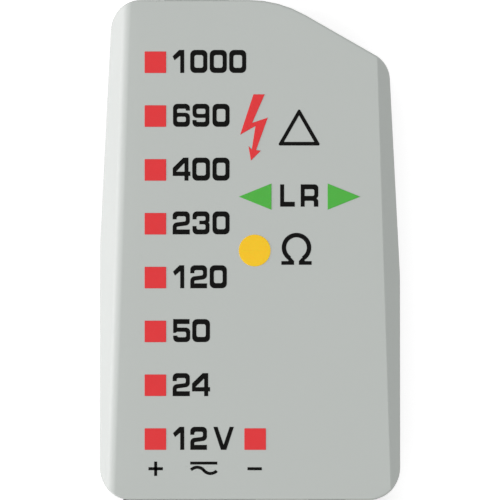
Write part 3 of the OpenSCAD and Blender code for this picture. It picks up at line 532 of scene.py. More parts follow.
def fill(mesh: BMesh, edges: Sequence[BMEdge], facing: Vector = UP) -> None:
    """Fills flat outlines, with the inner ones as holes."""
    bmesh.ops.triangle_fill(mesh, edges=edges, use_beauty=True, normal=facing)


def thicken(mesh: BMesh, rise: float) -> None:
    """Raises a mesh of flat faces into a solid."""
    grown = bmesh.ops.extrude_face_region(mesh, geom=mesh.faces[:])["geom"]
    bmesh.ops.translate(mesh, vec=UP * rise, verts=only(grown, BMVert))


def draw_outline(mesh: BMesh, outline: Loop, z: float) -> list[BMEdge]:
    """Draws a closed outline, each rounded corner spun about its own centre.

    Args:
        mesh: Mesh that gets the outline.
        outline: Corners in order round the outline.
        z: Height of the outline.

    Returns:
        The outline's edges.
    """
    before = set(mesh.edges)
    ends: list[tuple[BMVert, BMVert]] = []
    for i, corner in enumerate(outline):
        point = corner.at(z)
        back = (outline[i - 1].at(z) - point).normalized()
        ahead = (outline[(i + 1) % len(outline)].at(z) - point).normalized()
        if corner.radius <= 0:
            vert = mesh.verts.new(point)
            ends.append((vert, vert))
            continue
        half = back.angle(ahead) / 2
        turn = math.pi - 2 * half
        first = mesh.verts.new(point + back * corner.radius / math.tan(half))
        centre = point + (back + ahead).normalized() * corner.radius / math.sin(half)
        spun = bmesh.ops.spin(
            mesh, geom=[first], cent=centre, axis=UP, steps=max(2, math.ceil(turn / ARC_STEP)),
            angle=turn if back.cross(ahead).z < 0 else -turn,
        )
        ends.append((first, spun["geom_last"][0]))
    for i, (_, last) in enumerate(ends):
        mesh.edges.new((last, ends[(i + 1) % len(ends)][0]))
    return [edge for edge in mesh.edges if edge not in before]


def raise_outline(mesh: BMesh, loops: Sequence[Loop], z0: float, z1: float) -> None:
    """Raises a flat shape, with the later loops as its holes, from one height to another.

    Args:
        mesh: Mesh that gets the solid.
        loops: Outline and then the holes in it.
        z0: Height of the lower face.
        z1: Height of the upper face.
    """
    part = bmesh.new()
    fill(part, [edge for loop in loops for edge in draw_outline(part, loop, z0)])
    if len(loops) == 1:
        bmesh.ops.dissolve_faces(part, faces=part.faces[:])
    thicken(part, z1 - z0)
    bmesh.ops.recalc_face_normals(part, faces=part.faces)
    carrier = mesh_data("carrier", part)
    mesh.from_mesh(carrier)
    bpy.data.meshes.remove(carrier)


def extend_edges(mesh: BMesh, edges: Sequence[BMEdge], reach: Vector) -> list[BMEdge]:
    """Draws walls from open edges.

    Args:
        mesh: Mesh that gets the walls.
        edges: Edges where the walls start.
        reach: How far and which way they reach.

    Returns:
        The walls' far edges.
    """
    grown = bmesh.ops.extrude_edge_only(mesh, edges=edges)["geom"]
    verts = only(grown, BMVert)
    bmesh.ops.translate(mesh, vec=reach, verts=verts)
    moved = set(verts)
    return [edge for edge in only(grown, BMEdge) if moved.issuperset(edge.verts)]


def round_edges(block: BMesh, edge: float, steps: int) -> BMesh:
    """Rounds the marked edges of a block.

    Args:
        block: Block with its edges weighed, which is freed.
        edge: Width of the rounding at a weight of 1.
        steps: Steps across a rounded edge.

    Returns:
        The rounded block.
    """
    data = mesh_data("block", block)
    body = add_object("block", data)
    bevel = body.modifiers.new("edges", "BEVEL")
    bevel.width = edge
    bevel.segments = steps
    bevel.limit_method = "WEIGHT"
    bevel.use_clamp_overlap = False
    shaped = body.evaluated_get(bpy.context.evaluated_depsgraph_get())
    rounded = bmesh.new()
    rounded.from_mesh(shaped.to_mesh())
    shaped.to_mesh_clear()
    bpy.data.objects.remove(body)
    bpy.data.meshes.remove(data)
    return rounded


def finish_piece(
    name: str, mesh: BMesh, finish: Finish, body: Body, replaced: Sequence[str] = ()
) -> None:
    """Turns a mesh in millimetres into a dressed object that rides on its body.

    Args:
        name: Name of the object.
        mesh: Mesh in the head's frame, which is freed.
        finish: Finish of the piece.
        body: Body that carries it.
        replaced: CAD nodes that it stands for.
    """
    bmesh.ops.remove_doubles(mesh, verts=mesh.verts, dist=SAME_POINT)
    bmesh.ops.recalc_face_normals(mesh, faces=mesh.faces)
    bmesh.ops.transform(mesh, matrix=head_matrix(), verts=mesh.verts)
    data = mesh_data(name, mesh)
    data.shade_smooth()
    data.set_sharp_from_angle(angle=SMOOTH_ANGLE)
    data.materials.append(finish.material())
    piece = add_object(name, data)
    piece.modifiers.new("even_shading", "WEIGHTED_NORMAL").keep_sharp = True
    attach(piece, body.value)
    if replaced:
        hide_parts(*replaced)
    LOG.info("%s: %d faces on %s", name, len(data.polygons), body.value)


def shading_group() -> NodeTree:
    """Geometry nodes that merge a CAD node's triangles and keep its creases sharp."""
    group = bpy.data.node_groups.new("crease_shading", "GeometryNodeTree")
    for way in ("INPUT", "OUTPUT"):
        group.interface.new_socket("Geometry", in_out=way, socket_type="NodeSocketGeometry")
    source = add_node(group, "NodeGroupInput")
    merged = add_node(
        group, "GeometryNodeMergeByDistance", {"Distance": 0.001 * MM}, {0: source.outputs[0]}
    )
    smooth = add_node(
        group, "GeometryNodeSetShadeSmooth", {2: True}, {0: merged.outputs[0]}, domain="FACE"
    )
    turn = add_node(group, "GeometryNodeInputMeshEdgeAngle")
    sharp = add_node(
        group, "FunctionNodeCompare", {1: SMOOTH_ANGLE}, {0: turn.outputs[0]},
        data_type="FLOAT", operation="GREATER_THAN",
    )
    edges = {0: smooth.outputs[0], 1: sharp.outputs[0]}
    creased = add_node(group, "GeometryNodeSetShadeSmooth", {2: False}, edges, domain="EDGE")
    add_node(group, "NodeGroupOutput", links={0: creased.outputs[0]})
    return group


def dress_nodes(nodes: dict[str, Object]) -> None:
    """Gives each CAD node that stays in view its finish and even shading.

    Args:
        nodes: CAD objects by their names.
    """
    group = shading_group()
    for finish, names in DRESSED_NODES.items():
        for name in names:
            node = nodes[name]
            node.data.materials.clear()
            node.data.materials.append(finish.material())
            node.modifiers.new("creases", "NODES").node_group = group
            node.modifiers.new("even_shading", "WEIGHTED_NORMAL").keep_sharp = True
            LOG.info("%s: CAD node in %s", name, finish.name)


# The head


@dataclass
class WindowShapes:
    """Outlines of the lamp windows in the face, shared by the cover and the lenses."""

    square: float = 4.6
    nick: float = 0.15
    rows: tuple[str, ...] = ("1000", "690", "400", "230", "120", "50", "24", "12")
    top_y: float = 39.9
    pitch: float = 11.44
    column_x: float = -20.1
    mid_x: float = 1.1
    bolt_x: float = 0.85
    bolt_y: float = 26.04
    arrow_right_x: float = 19.97
    arrow_y: float = 11.34
    arrow_width: float = 6.95
    arrow_height: float = 5.6
    glow_x: float = 1.0
    glow_y: float = -0.11
    glow_radius: float = 3.39
    roundness: float = 0.9999

    def square_at(self, x: float, row: int) -> Loop:
        """Square window of one row, counted from the top."""
        half = self.square / 2
        return box_about(x, self.top_y - row * self.pitch, half, half, self.nick)

    def bolt(self) -> Loop:
        """Lightning window, from its tail round to its arrow head."""
        outline = corners(
            (-0.118, 7.05), (-2.95, -1.551), (0.295, 0.282), (-0.472, -4.653), (-1.18, -3.948),
            (-0.649, -7.05), (1.475, -4.935), (0.472, -4.794), (2.95, 2.115), (-0.354, 0.987),
            (2.301, 7.05),
        )
        return shifted(outline, self.bolt_x, self.bolt_y)

    def arrow(self, side: Side) -> Loop:
        """Phase arrow that points to one side."""
        x = self.mid_x if side is Side.LEFT else self.arrow_right_x
        y, reach, half = self.arrow_y, side.value * self.arrow_width / 2, self.arrow_height / 2
        return corners((x + reach, y), (x - reach, y + half), (x - reach, y - half))[:: side.value]

    def glow(self) -> Loop:
        """Round window, as a square whose corners are rounded until they all but meet."""
        r = self.glow_radius
        return box_about(self.glow_x, self.glow_y, r, r, r * self.roundness)

    def all(self) -> dict[str, Loop]:
        """Every window by the name of its CAD node."""
        levels = {
            f"level_window_{name}": self.square_at(self.column_x, row)
            for row, name in enumerate(self.rows)
        }
        return {
            **levels,
            "polarity_window": self.square_at(self.mid_x, len(self.rows) - 1),
            "danger_window": self.bolt(),
            "phase_window_left": self.arrow(Side.LEFT),
            "phase_window_right": self.arrow(Side.RIGHT),
            "continuity_window": self.glow(),
        }


@dataclass
class DisplayCover:
    """Light grey cover of the head: flat face, two sloped flanks and a rounded rim.

    Its left flank meets the face in a soft rounding and its right one in a crisp edge. Turns are
    in degrees, and slopes are the upward part of a normal. Edges shorter than the shortest are
    merged, and edges in the plain rim stay sharp.
    """

    width: float = 64.0
    length: float = 106.3
    rim_z: float = 21.0
    face_z: float = FACE_Z
    face_wall: float = 2.0
    side_wall: float = 3.4
    heel_radius: float = 6.8
    top_radius: float = 6.5
    shoulder_radius: float = 5.8
    brow_radius: float = 24.0
    brow_x: float = 6.15
    left_lean: float = 2.65
    right_lean: float = 2.35
    shoulder_drop: float = 13.45
    left_bend_y: float = 1.0
    right_bend_y: float = -5.5
    bend_radius: float = 60.0
    face_left: float = 28.35
    face_right: float = 28.4
    flank_turn: float = 1.8
    flank_ratio: float = 0.54
    soft_radius: float = 2.7
    round_cuts: int = 6
    crisp_edge: float = 0.2
    rim_edge: float = 0.45
    edge_steps: int = 4
    shortest: float = 0.02
    least_turn: float = 20.0
    plain_rim: float = 0.5
    level_slope: float = 0.99
    flank_slopes: tuple[float, float] = (0.2, 0.8)

    def outline(self) -> Loop:
        """Outline of the head from its lower left corner."""
        x, y = self.width / 2, self.length / 2
        return corners(
            (-x, -y, self.heel_radius),
            (x, -y, self.heel_radius),
            (x, self.right_bend_y, self.bend_radius),
            (x - self.right_lean, y - self.shoulder_drop, self.shoulder_radius),
            (self.brow_x, y, self.brow_radius),
            (-x + self.left_lean, y, self.top_radius),
            (-x, self.left_bend_y, self.bend_radius),
        )

    def inner_outline(self) -> Loop:
        """Outline of the hollow inside the side wall."""
        across = 1 - 2 * self.side_wall / self.width
        along = 1 - 2 * self.side_wall / self.length
        return [Corner(c.x * across, c.y * along, c.radius / 2) for c in self.outline()]

    def slice_flank(self, mesh: BMesh, side: Side, edge_x: float, radius: float = 0.0) -> None:
        """Cuts one sloped flank and rounds its meeting with the face by narrow cuts.

        Args:
            mesh: The cover's block.
            side: Side of the flank.
            edge_x: Distance of the flank's upper edge from the middle of the head.
            radius: Radius of the rounding between the flank and the face.
        """
        turn = math.radians(self.flank_turn)
        out = Vector((side.value * math.cos(turn), math.sin(turn), 0))
        lean = math.atan2(1, self.flank_ratio)
        crease = Vector((side.value * edge_x, 0, self.face_z))
        centre = crease - out * radius * math.tan(lean / 2) - UP * radius
        cuts = self.round_cuts if radius else 0
        for i in range(cuts + 1, 0, -1):
            tilt = lean * i / (cuts + 1)
            facing = out * math.sin(tilt) + UP * math.cos(tilt)
            cut = bmesh.ops.bisect_plane(
                mesh, geom=mesh.verts[:] + mesh.edges[:] + mesh.faces[:],
                plane_co=centre + facing * radius, plane_no=facing, clear_outer=True,
            )
            bmesh.ops.edgeloop_fill(mesh, edges=only(cut["geom_cut"], BMEdge))

    def weigh_edges(self, mesh: BMesh) -> None:
        """Marks how much each edge is rounded, as a share of the rim's rounding.

        Args:
            mesh: The cut block.
        """
        layer = mesh.edges.layers.float.new("bevel_weight_edge")
        least, most = self.flank_slopes
        for edge in mesh.edges:
            if edge.calc_face_angle(0.0) < math.radians(self.least_turn):
                continue
            if max(vert.co.z for vert in edge.verts) < self.rim_z + self.plain_rim:
                continue
            low, high = sorted(face.normal.z for face in edge.link_faces)
            crease = high > self.level_slope and least < low < most
            edge[layer] = self.crisp_edge / self.rim_edge if crease else 1.0

    def open_face(self, shell: BMesh, windows: WindowShapes) -> None:
        """Cuts the windows into the face and hollows the block from its lower rim.

        Args:
            shell: The rounded block.
            windows: Shapes of the windows.
        """
        above = [face for face in shell.faces if face.normal.z > self.level_slope]
        below = [face for face in shell.faces if face.normal.z < -self.level_slope]
        face, foot = max(above, key=BMFace.calc_area), max(below, key=BMFace.calc_area)
        face_rim, foot_rim = list(face.edges), list(foot.edges)
        bmesh.ops.delete(shell, geom=[face, foot], context="FACES_ONLY")
        openings = [
            edge
            for window in windows.all().values()
            for edge in draw_outline(shell, window, self.face_z)
        ]
        fill(shell, face_rim + openings)
        reveal = extend_edges(shell, openings, -UP * self.face_wall)
        ceiling_z = self.face_z - self.face_wall
        inside = draw_outline(shell, self.inner_outline(), ceiling_z)
        fill(shell, reveal + inside)
        inner_foot = extend_edges(shell, inside, UP * (self.rim_z - ceiling_z))
        fill(shell, foot_rim + inner_foot, -UP)

    def build(self, windows: WindowShapes) -> None:
        """Builds the cover with its windows cut and its inside hollowed.

        Args:
            windows: Shapes of the windows.
        """
        block = bmesh.new()
        raise_outline(block, [self.outline()], self.rim_z, self.face_z)
        self.slice_flank(block, Side.LEFT, self.face_left, self.soft_radius)
        self.slice_flank(block, Side.RIGHT, self.face_right)
        bmesh.ops.remove_doubles(block, verts=block.verts, dist=self.shortest)
        bmesh.ops.recalc_face_normals(block, faces=block.faces)
        self.weigh_edges(block)
        shell = round_edges(block, self.rim_edge, self.edge_steps)
        self.open_face(shell, windows)
        finish_piece("head_cover", shell, COVER_ABS, Body.TESTER, ["display_cover"])


@dataclass
class Lenses:
    """Dyed lenses on flanges, which fill the windows and stand a little proud of the face."""

    face_z: float = FACE_Z
    proud: float = 0.08
    chamfer: float = 0.1
    least_turn: float = 30.0
    flange_z: float = 30.2
    flange_top: float = 31.0
    sunk: float = 0.1
    lip: float = 0.7

    def finish_of(self, name: str) -> Finish:
        """Finish of one lens by its node's name."""
        if name.startswith("phase"):
            return GREEN_LENS
        return YELLOW_LENS if name.startswith("continuity") else RED_LENS

    def flange(self, window: Loop) -> Loop:
        """Rectangle that reaches a lip's width past a window."""
        xs, ys = [c.x for c in window], [c.y for c in window]
        lip = self.lip
        return box_loop(min(xs) - lip, min(ys) - lip, max(xs) + lip, max(ys) + lip)

    def build(self, windows: WindowShapes) -> None:
        """Builds every lens on its flange.

        Args:
            windows: Shapes of the windows.
        """
        for name, window in windows.all().items():
            mesh = bmesh.new()
            raise_outline(mesh, [window], self.flange_top - self.sunk, self.face_z + self.proud)
            rim = [
                edge
                for edge in mesh.edges
                if min(vert.co.z for vert in edge.verts) > self.face_z
                and edge.calc_face_angle(0.0) > math.radians(self.least_turn)
            ]
            bmesh.ops.bevel(
                mesh, geom=rim, offset=self.chamfer, offset_type="OFFSET", segments=2,
                profile=0.5, affect="EDGES", material=-1,
            )
            raise_outline(mesh, [self.flange(window)], self.flange_z, self.flange_top)
            finish_piece(f"{name}_lens", mesh, self.finish_of(name), Body.TESTER, [name])


@dataclass
class Lettering:
    """Pad-printed figures and symbols beside the windows.

    A glyph is drawn from its lower left corner. Stems are the upright strokes and bars the
    level ones. The ink reaches as far into the face as it stands above it. A curve has a point
    at each step, in degrees.
    """

    face_z: float = FACE_Z
    ink: float = 0.03
    height: float = 4.9
    stem: float = 0.86
    bar: float = 1.05
    round_out: float = 0.95
    round_in: float = 0.35
    step: float = 6.0

    def six(self, w: float) -> Sequence[Loop]:
        """Figure six of a width; turned about its middle it is the nine."""
        h, s, b, ro, ri = self.height, self.stem, self.bar, self.round_out, self.round_in
        outline = corners(
            (0, 0, ro), (w, 0, ro), (w, 3.0, ro), (s, 3.0, 0.15), (s, h - b, ri),
            (w - s, h - b, 0.2), (w - s, 3.45), (w, 3.45), (w, h, ro), (0, h, ro),
        )
        return [outline, box_loop(s, b, w - s, 2.15, ri)]

    def glyph(self, sign: str, w: float) -> Sequence[Loop]:
        """Outline and holes of one figure or letter.

        Args:
            sign: The figure or letter.
            w: Its width.

        Returns:
            The outline, and then its holes.
        """
        h, s, b, ro, ri = self.height, self.stem, self.bar, self.round_out, self.round_in
        half, four_x, leg_x = w / 2, w - 0.4, w - s - 0.1
        glyphs = {
            "0": [box_loop(0, 0, w, h, 1.05), box_loop(0.9, 1.1, w - 0.9, h - 1.1, 0.45)],
            "1": [corners(
                (w - s, 0), (w, 0), (w, h), (1.32, h, 0.15), (-0.08, 3.55), (0.35, 2.7),
                (w - s, 3.66),
            )],
            "2": [corners(
                (0, 0), (w, 0), (w, b), (s, b), (s, 1.62, 0.2), (w, 2.0, ro), (w, h, ro),
                (0, h, ro), (0, 3.2), (s, 3.2), (s, h - b, ri), (w - s, h - b, ri),
                (w - s, 2.78, ri), (0, 2.45, ro),
            )],
            "3": [corners(
                (0, 0, ro), (w, 0, ro), (w, 2.4, 0.5), (w - 0.25, 2.53), (w, 2.66, 0.5),
                (w, h, ro), (0, h, ro), (0, 3.2), (s, 3.2), (s, h - b, ri), (w - s, h - b, ri),
                (w - s, 2.92, ri), (1.45, 2.92), (1.45, 2.14), (w - s, 2.14, ri),
                (w - s, b, ri), (s, b, ri), (s, 1.78), (0, 1.78),
            )],
            "4": [
                corners(
                    (0, 1.0), (four_x - s, 1.0), (four_x - s, 0), (four_x, 0), (four_x, 1.0),
                    (w, 1.0), (w, 1.92), (four_x, 1.92), (four_x, h), (2.25, h, 0.2),
                    (0, 2.7, 0.3),
                ),
                corners((0.72, 1.92), (four_x - s, 1.92), (four_x - s, 3.75)),
            ],
            "5": [corners(
                (0, 0, ro), (w, 0, ro), (w, 3.1, ro), (s, 3.1), (s, h - b), (w - 0.15, h - b),
                (w - 0.15, h), (0, h), (0, 1.95), (0.45, 1.95), (0.85, 2.2), (w - s, 2.2, ri),
                (w - s, b, ri), (s, b, ri), (s, 1.4), (0, 1.4),
            )],
            "6": self.six(w),
            "9": [[Corner(w - c.x, h - c.y, c.radius) for c in loop] for loop in self.six(w)],
            "L": [corners((0, 0), (w, 0), (w, b), (s, b), (s, h), (0, h))],
            "R": [
                corners(
                    (0, 0), (s, 0), (s, 1.25), (leg_x, 1.25, 0.3), (leg_x, 0), (w, 0),
                    (w, 1.3, 0.4), (w - 0.35, 1.78), (w, 2.25, 0.5), (w, h, 0.8), (0, h),
                ),
                corners((s, 2.3), (w - s, 2.3, ri), (w - s, h - b, ri), (s, h - b)),
            ],
            "V": [corners(
                (0, h), (half - 0.58, 0), (half + 0.58, 0), (w, h), (w - 0.9, h), (half, 1.1),
                (0.9, h),
            )],
        }
        return glyphs[sign]

    def raise_ink(self, mesh: BMesh, loops: Sequence[Loop]) -> None:
        """Raises a flat shape, with its holes, as a thin film of ink."""
        raise_outline(mesh, loops, self.face_z - self.ink, self.face_z + self.ink)

    def print_shapes(self, name: str, *shapes: Sequence[Loop]) -> None:
        """Prints one word or symbol.

        Args:
            name: Name of the piece.
            *shapes: Outlines with their holes, already in place.
        """
        mesh = bmesh.new()
        for loops in shapes:
            self.raise_ink(mesh, loops)
        finish_piece(name, mesh, PAD_INK, Body.TESTER)

    def word(self, name: str, signs: str, y: float, *sides: tuple[float, float]) -> None:
        """Prints a word.

        Args:
            name: Name of the piece.
            signs: The figures and letters in order.
            y: Height of the base line.
            *sides: Left and right side of each sign.
        """
        self.print_shapes(name, *(
            [shifted(loop, x0, y) for loop in self.glyph(sign, x1 - x0)]
            for sign, (x0, x1) in zip(signs, sides)
        ))

    def curve(
        self, mesh: BMesh, x: float, y: float, radius: float, stroke: float, arc: Sequence[float]
    ) -> None:
        """Draws a curved stroke, still flat, by spinning a short edge.

        Args:
            mesh: Mesh that gets the stroke.
            x: Centre of the curve, across.
            y: Centre of the curve, along.
            radius: Radius of the stroke's middle.
            stroke: Width of the stroke.
            arc: Angle where it starts and angle that it covers, in degrees.
        """
        start, turn = arc
        centre = Vector((x, y, self.face_z - self.ink))
        way = Vector((math.cos(math.radians(start)), math.sin(math.radians(start)), 0))
        ends = [mesh.verts.new(centre + way * (radius + side * stroke / 2)) for side in (-1, 1)]
        bmesh.ops.spin(
            mesh, geom=[*ends, mesh.edges.new(ends)], cent=centre, axis=UP,
            angle=math.radians(turn), steps=round(turn / self.step),
        )

    def omega(self, x: float, y: float) -> None:
        """Prints the resistance sign about the middle of its ring: the ring, then two feet."""
        mesh = bmesh.new()
        self.curve(mesh, x, y, 2.67, 0.95, (-58, 296))
        thicken(mesh, 2 * self.ink)
        foot = corners(
            (0.5, -3.65), (3.22, -3.65), (3.22, -2.86), (1.72, -2.86, 0.2), (1.68, -2.5),
            (1.3, -1.98), (0.5, -2.86),
        )
        for way in (-1, 1):
            turned = [Corner(way * c.x, c.y, c.radius) for c in foot[::way]]
            self.raise_ink(mesh, [shifted(turned, x, y)])
        finish_piece("resistance_sign", mesh, PAD_INK, Body.TESTER)

    def supply_sign(self, x: float, y: float) -> None:
        """Prints the sign for direct and alternating voltage: a bar over a wave."""
        radius, stroke, reach = 1.84, 0.66, 1.41
        mesh = bmesh.new()
        for way, start in ((-1, 36), (1, 216)):
            rise = way * (radius - stroke)
            self.curve(mesh, x + way * reach, y + rise, radius, stroke, (start, 100))
        thicken(mesh, 2 * self.ink)
        self.raise_ink(mesh, [box_loop(x - 2.9, y + 1.24, x + 2.86, y + 1.86)])
        finish_piece("supply_sign", mesh, PAD_INK, Body.TESTER)

    def build(self) -> None:
        """Prints all the lettering of the face."""
        rows = (
            ("1000", 37.62, (-16.38, -13.97), (-12.71, -9.06), (-8.57, -4.92), (-4.42, -0.79)),
            ("690", 26.17, (-16.36, -12.77), (-12.22, -8.62), (-7.98, -4.33)),
            ("400", 14.73, (-16.42, -12.67), (-12.28, -8.5), (-7.98, -4.33)),
            ("230", 3.31, (-16.44, -12.79), (-12.22, -8.6), (-7.98, -4.33)),
            ("120", -8.14, (-16.29, -13.97), (-12.69, -9.13), (-8.57, -4.92)),
            ("50", -19.58, (-16.33, -12.7), (-12.28, -8.5)),
            ("24", -31.06, (-16.44, -12.79), (-12.32, -8.48)),
            ("12_V", -42.47, (-16.29, -13.97), (-12.69, -9.15), (-7.8, -3.42)),
        )
        for name, y, *sides in rows:
            self.word(f"figures_{name}", name.replace("_", ""), y, *sides)
        letters = Lettering(height=4.75)
        letters.word("letter_L", "L", 9.2, (6.4, 9.53))
        letters.word("letter_R", "R", 9.2, (10.77, 14.52))
        self.omega(9.88, 0.5)
        self.supply_sign(-9.81, -46.83)
        sign_y, arm, stroke = -46.48, 1.53, 0.32
        self.print_shapes(
            "plus_sign",
            [box_about(-20.05, sign_y, arm, stroke)],
            [box_about(-20.05, sign_y, stroke, arm)],
        )
        self.print_shapes("minus_sign", [box_about(0.99, sign_y, arm, stroke)])
        self.print_shapes("triangle_sign", [
            corners((5.87, 22.2, 0.3), (15.02, 22.2, 0.3), (10.44, 30.15, 0.3)),
            corners((7.22, 22.98), (13.66, 22.98), (10.44, 28.6)),
        ])


# The grip and the probes


@dataclass
class RoundPart:
    """Turned or moulded round part that stands for one CAD node."""

    name: str
    node: str
    body: Body
    finish: Finish
    centre: tuple[float, float, float]
    axis: ClassVar[Vector] = ALONG
    steps: ClassVar[int] = 64

    def profile(self) -> Points:
        """Profile of (radius, distance from the centre along the axis)."""
        raise NotImplementedError

    def build(self) -> None:
        """Spins the profile about the axis into a closed solid."""
        mesh = bmesh.new()
        centre, across = Vector(self.centre), Vector((1, 0, 0))
        ring = [mesh.verts.new(centre + across * r + self.axis * d) for r, d in self.profile()]
        edges = [mesh.edges.new(pair) for pair in zip(ring, ring[1:])]
        bmesh.ops.spin(
            mesh, geom=ring + edges, cent=centre, axis=self.axis, angle=math.tau,
            steps=self.steps, use_merge=True,
        )
        finish_piece(self.name, mesh, self.finish, self.body, [self.node])


@dataclass
class PushKey(RoundPart):
    """Soft push button with a rounded rim, given by its inset and drop, and a dished top."""

    radius: float
    flange_radius: float
    flange_z: float
    dish: float = 0.45
    dish_steps: int = 6
    rim: ClassVar[Points] = (
        (0, 0.7), (0.06, 0.4), (0.22, 0.15), (0.5, 0.02), (0.8, 0), (1.1, 0.05)
    )
    axis: ClassVar[Vector] = UP

    def profile(self) -> Points:
        """Profile of the flange, the wall, the rim and the dish."""
        low, top = (corner.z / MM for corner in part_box(self.node))
        points = [(0, low), (self.flange_radius, low), (self.flange_radius, self.flange_z)]
        points += [(self.radius, self.flange_z)]
        points += [(self.radius - inset, top - drop) for inset, drop in self.rim]
        edge, edge_z = points[-1]
        for i in range(1, self.dish_steps + 1):
            share = 1 - i / self.dish_steps
            points.append((edge * share, edge_z - self.dish * (1 - share**2)))
        return points


@dataclass
class Pin(RoundPart):
    """Probe pin with a groove before its tapered, rounded point."""

    low: float
    tip: float
    radius: float = 2.0

    def profile(self) -> Points:
        """Profile from the inner end to the point, whose distances are counted from the tip."""
        point = (
            (self.radius, 4.6), (1.92, 4.45), (1.92, 4.15), (1.98, 4), (0.62, 0.5), (0.5, 0.2),
            (0.28, 0.04), (0, 0),
        )
        return [(0, self.low), (self.radius, self.low), *((r, self.tip - d) for r, d in point)]


@dataclass
class TipGuard(RoundPart):
    """Slip-on tip guard: a rim, a barrel with grooves round it and an open end."""

    low: float
    high: float
    bore: float = 2.05
    barrel: float = 3.6
    grooves: int = 4
    groove_pitch: float = 1.9

    def profile(self) -> Points:
        """Closed profile of the guard's wall, from its rim."""
        low, high, out = self.low, self.high, self.barrel
        points = [
            (self.bore, low), (4.0, low), (4.2, low + 0.25), (4.2, low + 1.75), (4.0, low + 2),
            (out, low + 2.1),
        ]
        for i in range(self.grooves):
            y = low + 3.2 + i * self.groove_pitch
            points += [(out, y), (out - 0.3, y + 0.3), (out - 0.3, y + 0.7), (out, y + 1.0)]
        points += [(out, high - 0.5), (out - 0.15, high - 0.15), (out - 0.5, high)]
        return points + [(self.bore, high), (self.bore, low)]


@dataclass
class CableInlet(RoundPart):
    """Cable inlet: an inner flange, a neck through the wall and a collar with two grooves."""

    end: float
    wall: float
    neck: float
    collar: float
    flange: float
    bore: float = 2.4
    reach: float = 4.0

    def profile(self) -> Points:
        """Closed profile of the inlet's wall, where the collar's points are counted from it."""
        end, inside = self.end, self.end + self.wall
        collar = (
            (0, 0), (0, 0.9), (0.5, 1.1), (0.5, 1.6), (0.1, 1.8), (0.15, 2.5), (0.65, 2.7),
            (0.65, 3.2), (0.3, 3.4), (0.6, self.reach - 0.1), (1, self.reach),
        )
        return [
            (self.bore, inside + 2), (self.flange, inside + 2), (self.flange, inside),
            (self.neck, inside), (self.neck, end),
            *((self.collar - inset, end - back) for inset, back in collar),
            (self.bore, end - self.reach), (self.bore, inside + 2),
        ]


MAIN_AXIS = (MAIN_X, 0.0, AXIS_Z)
GRIP_AXIS = (GRIP_X, 0.0, AXIS_Z)
SECOND_AXIS = (SECOND_X, 0.0, AXIS_Z)
ROUND_PARTS: tuple[RoundPart, ...] = (
    PushKey(
        "red_test_key", "test_button", Body.TEST_KEY, RED_KEY, (GRIP_X, -71.65, 0.0),
        radius=6.0, flange_radius=7.2, flange_z=24.78,
    ),
    PushKey(
        "grey_torch_key", "torch_button", Body.TORCH_KEY, GREY_KEY, (GRIP_X, -88.65, 0.0),
        radius=4.0, flange_radius=5.2, flange_z=25.45,
    ),
    PushKey(
        "red_second_key", "second_button", Body.SECOND_KEY, RED_KEY, (SECOND_X, -82.85, 0.0),
        radius=4.5, flange_radius=5.7, flange_z=20.55,
    ),
    Pin("main_pin", "probe_pin", Body.TESTER, NICKEL_PIN, MAIN_AXIS, low=41.25, tip=111.15),
    Pin(
        "second_pin", "second_probe_pin", Body.SECOND, NICKEL_PIN, SECOND_AXIS,
        low=-77.85, tip=-17.05,
    ),
    TipGuard(
        "ribbed_tip_guard", "tip_guard", Body.TIP_COVER, GUARD_RED, MAIN_AXIS,
        low=92.45, high=107.45,
    ),
    CableInlet(
        "grip_inlet", "cable_gland", Body.TESTER, BLACK_RUBBER, GRIP_AXIS,
        end=-165.15, wall=2.4, neck=4.4, collar=5.4, flange=6.0,
    ),
    CableInlet(
        "second_inlet", "second_cable_gland", Body.SECOND, BLACK_RUBBER, SECOND_AXIS,
        end=-158.85, wall=2.2, neck=4.0, collar=5.0, flange=5.0,
    ),
)


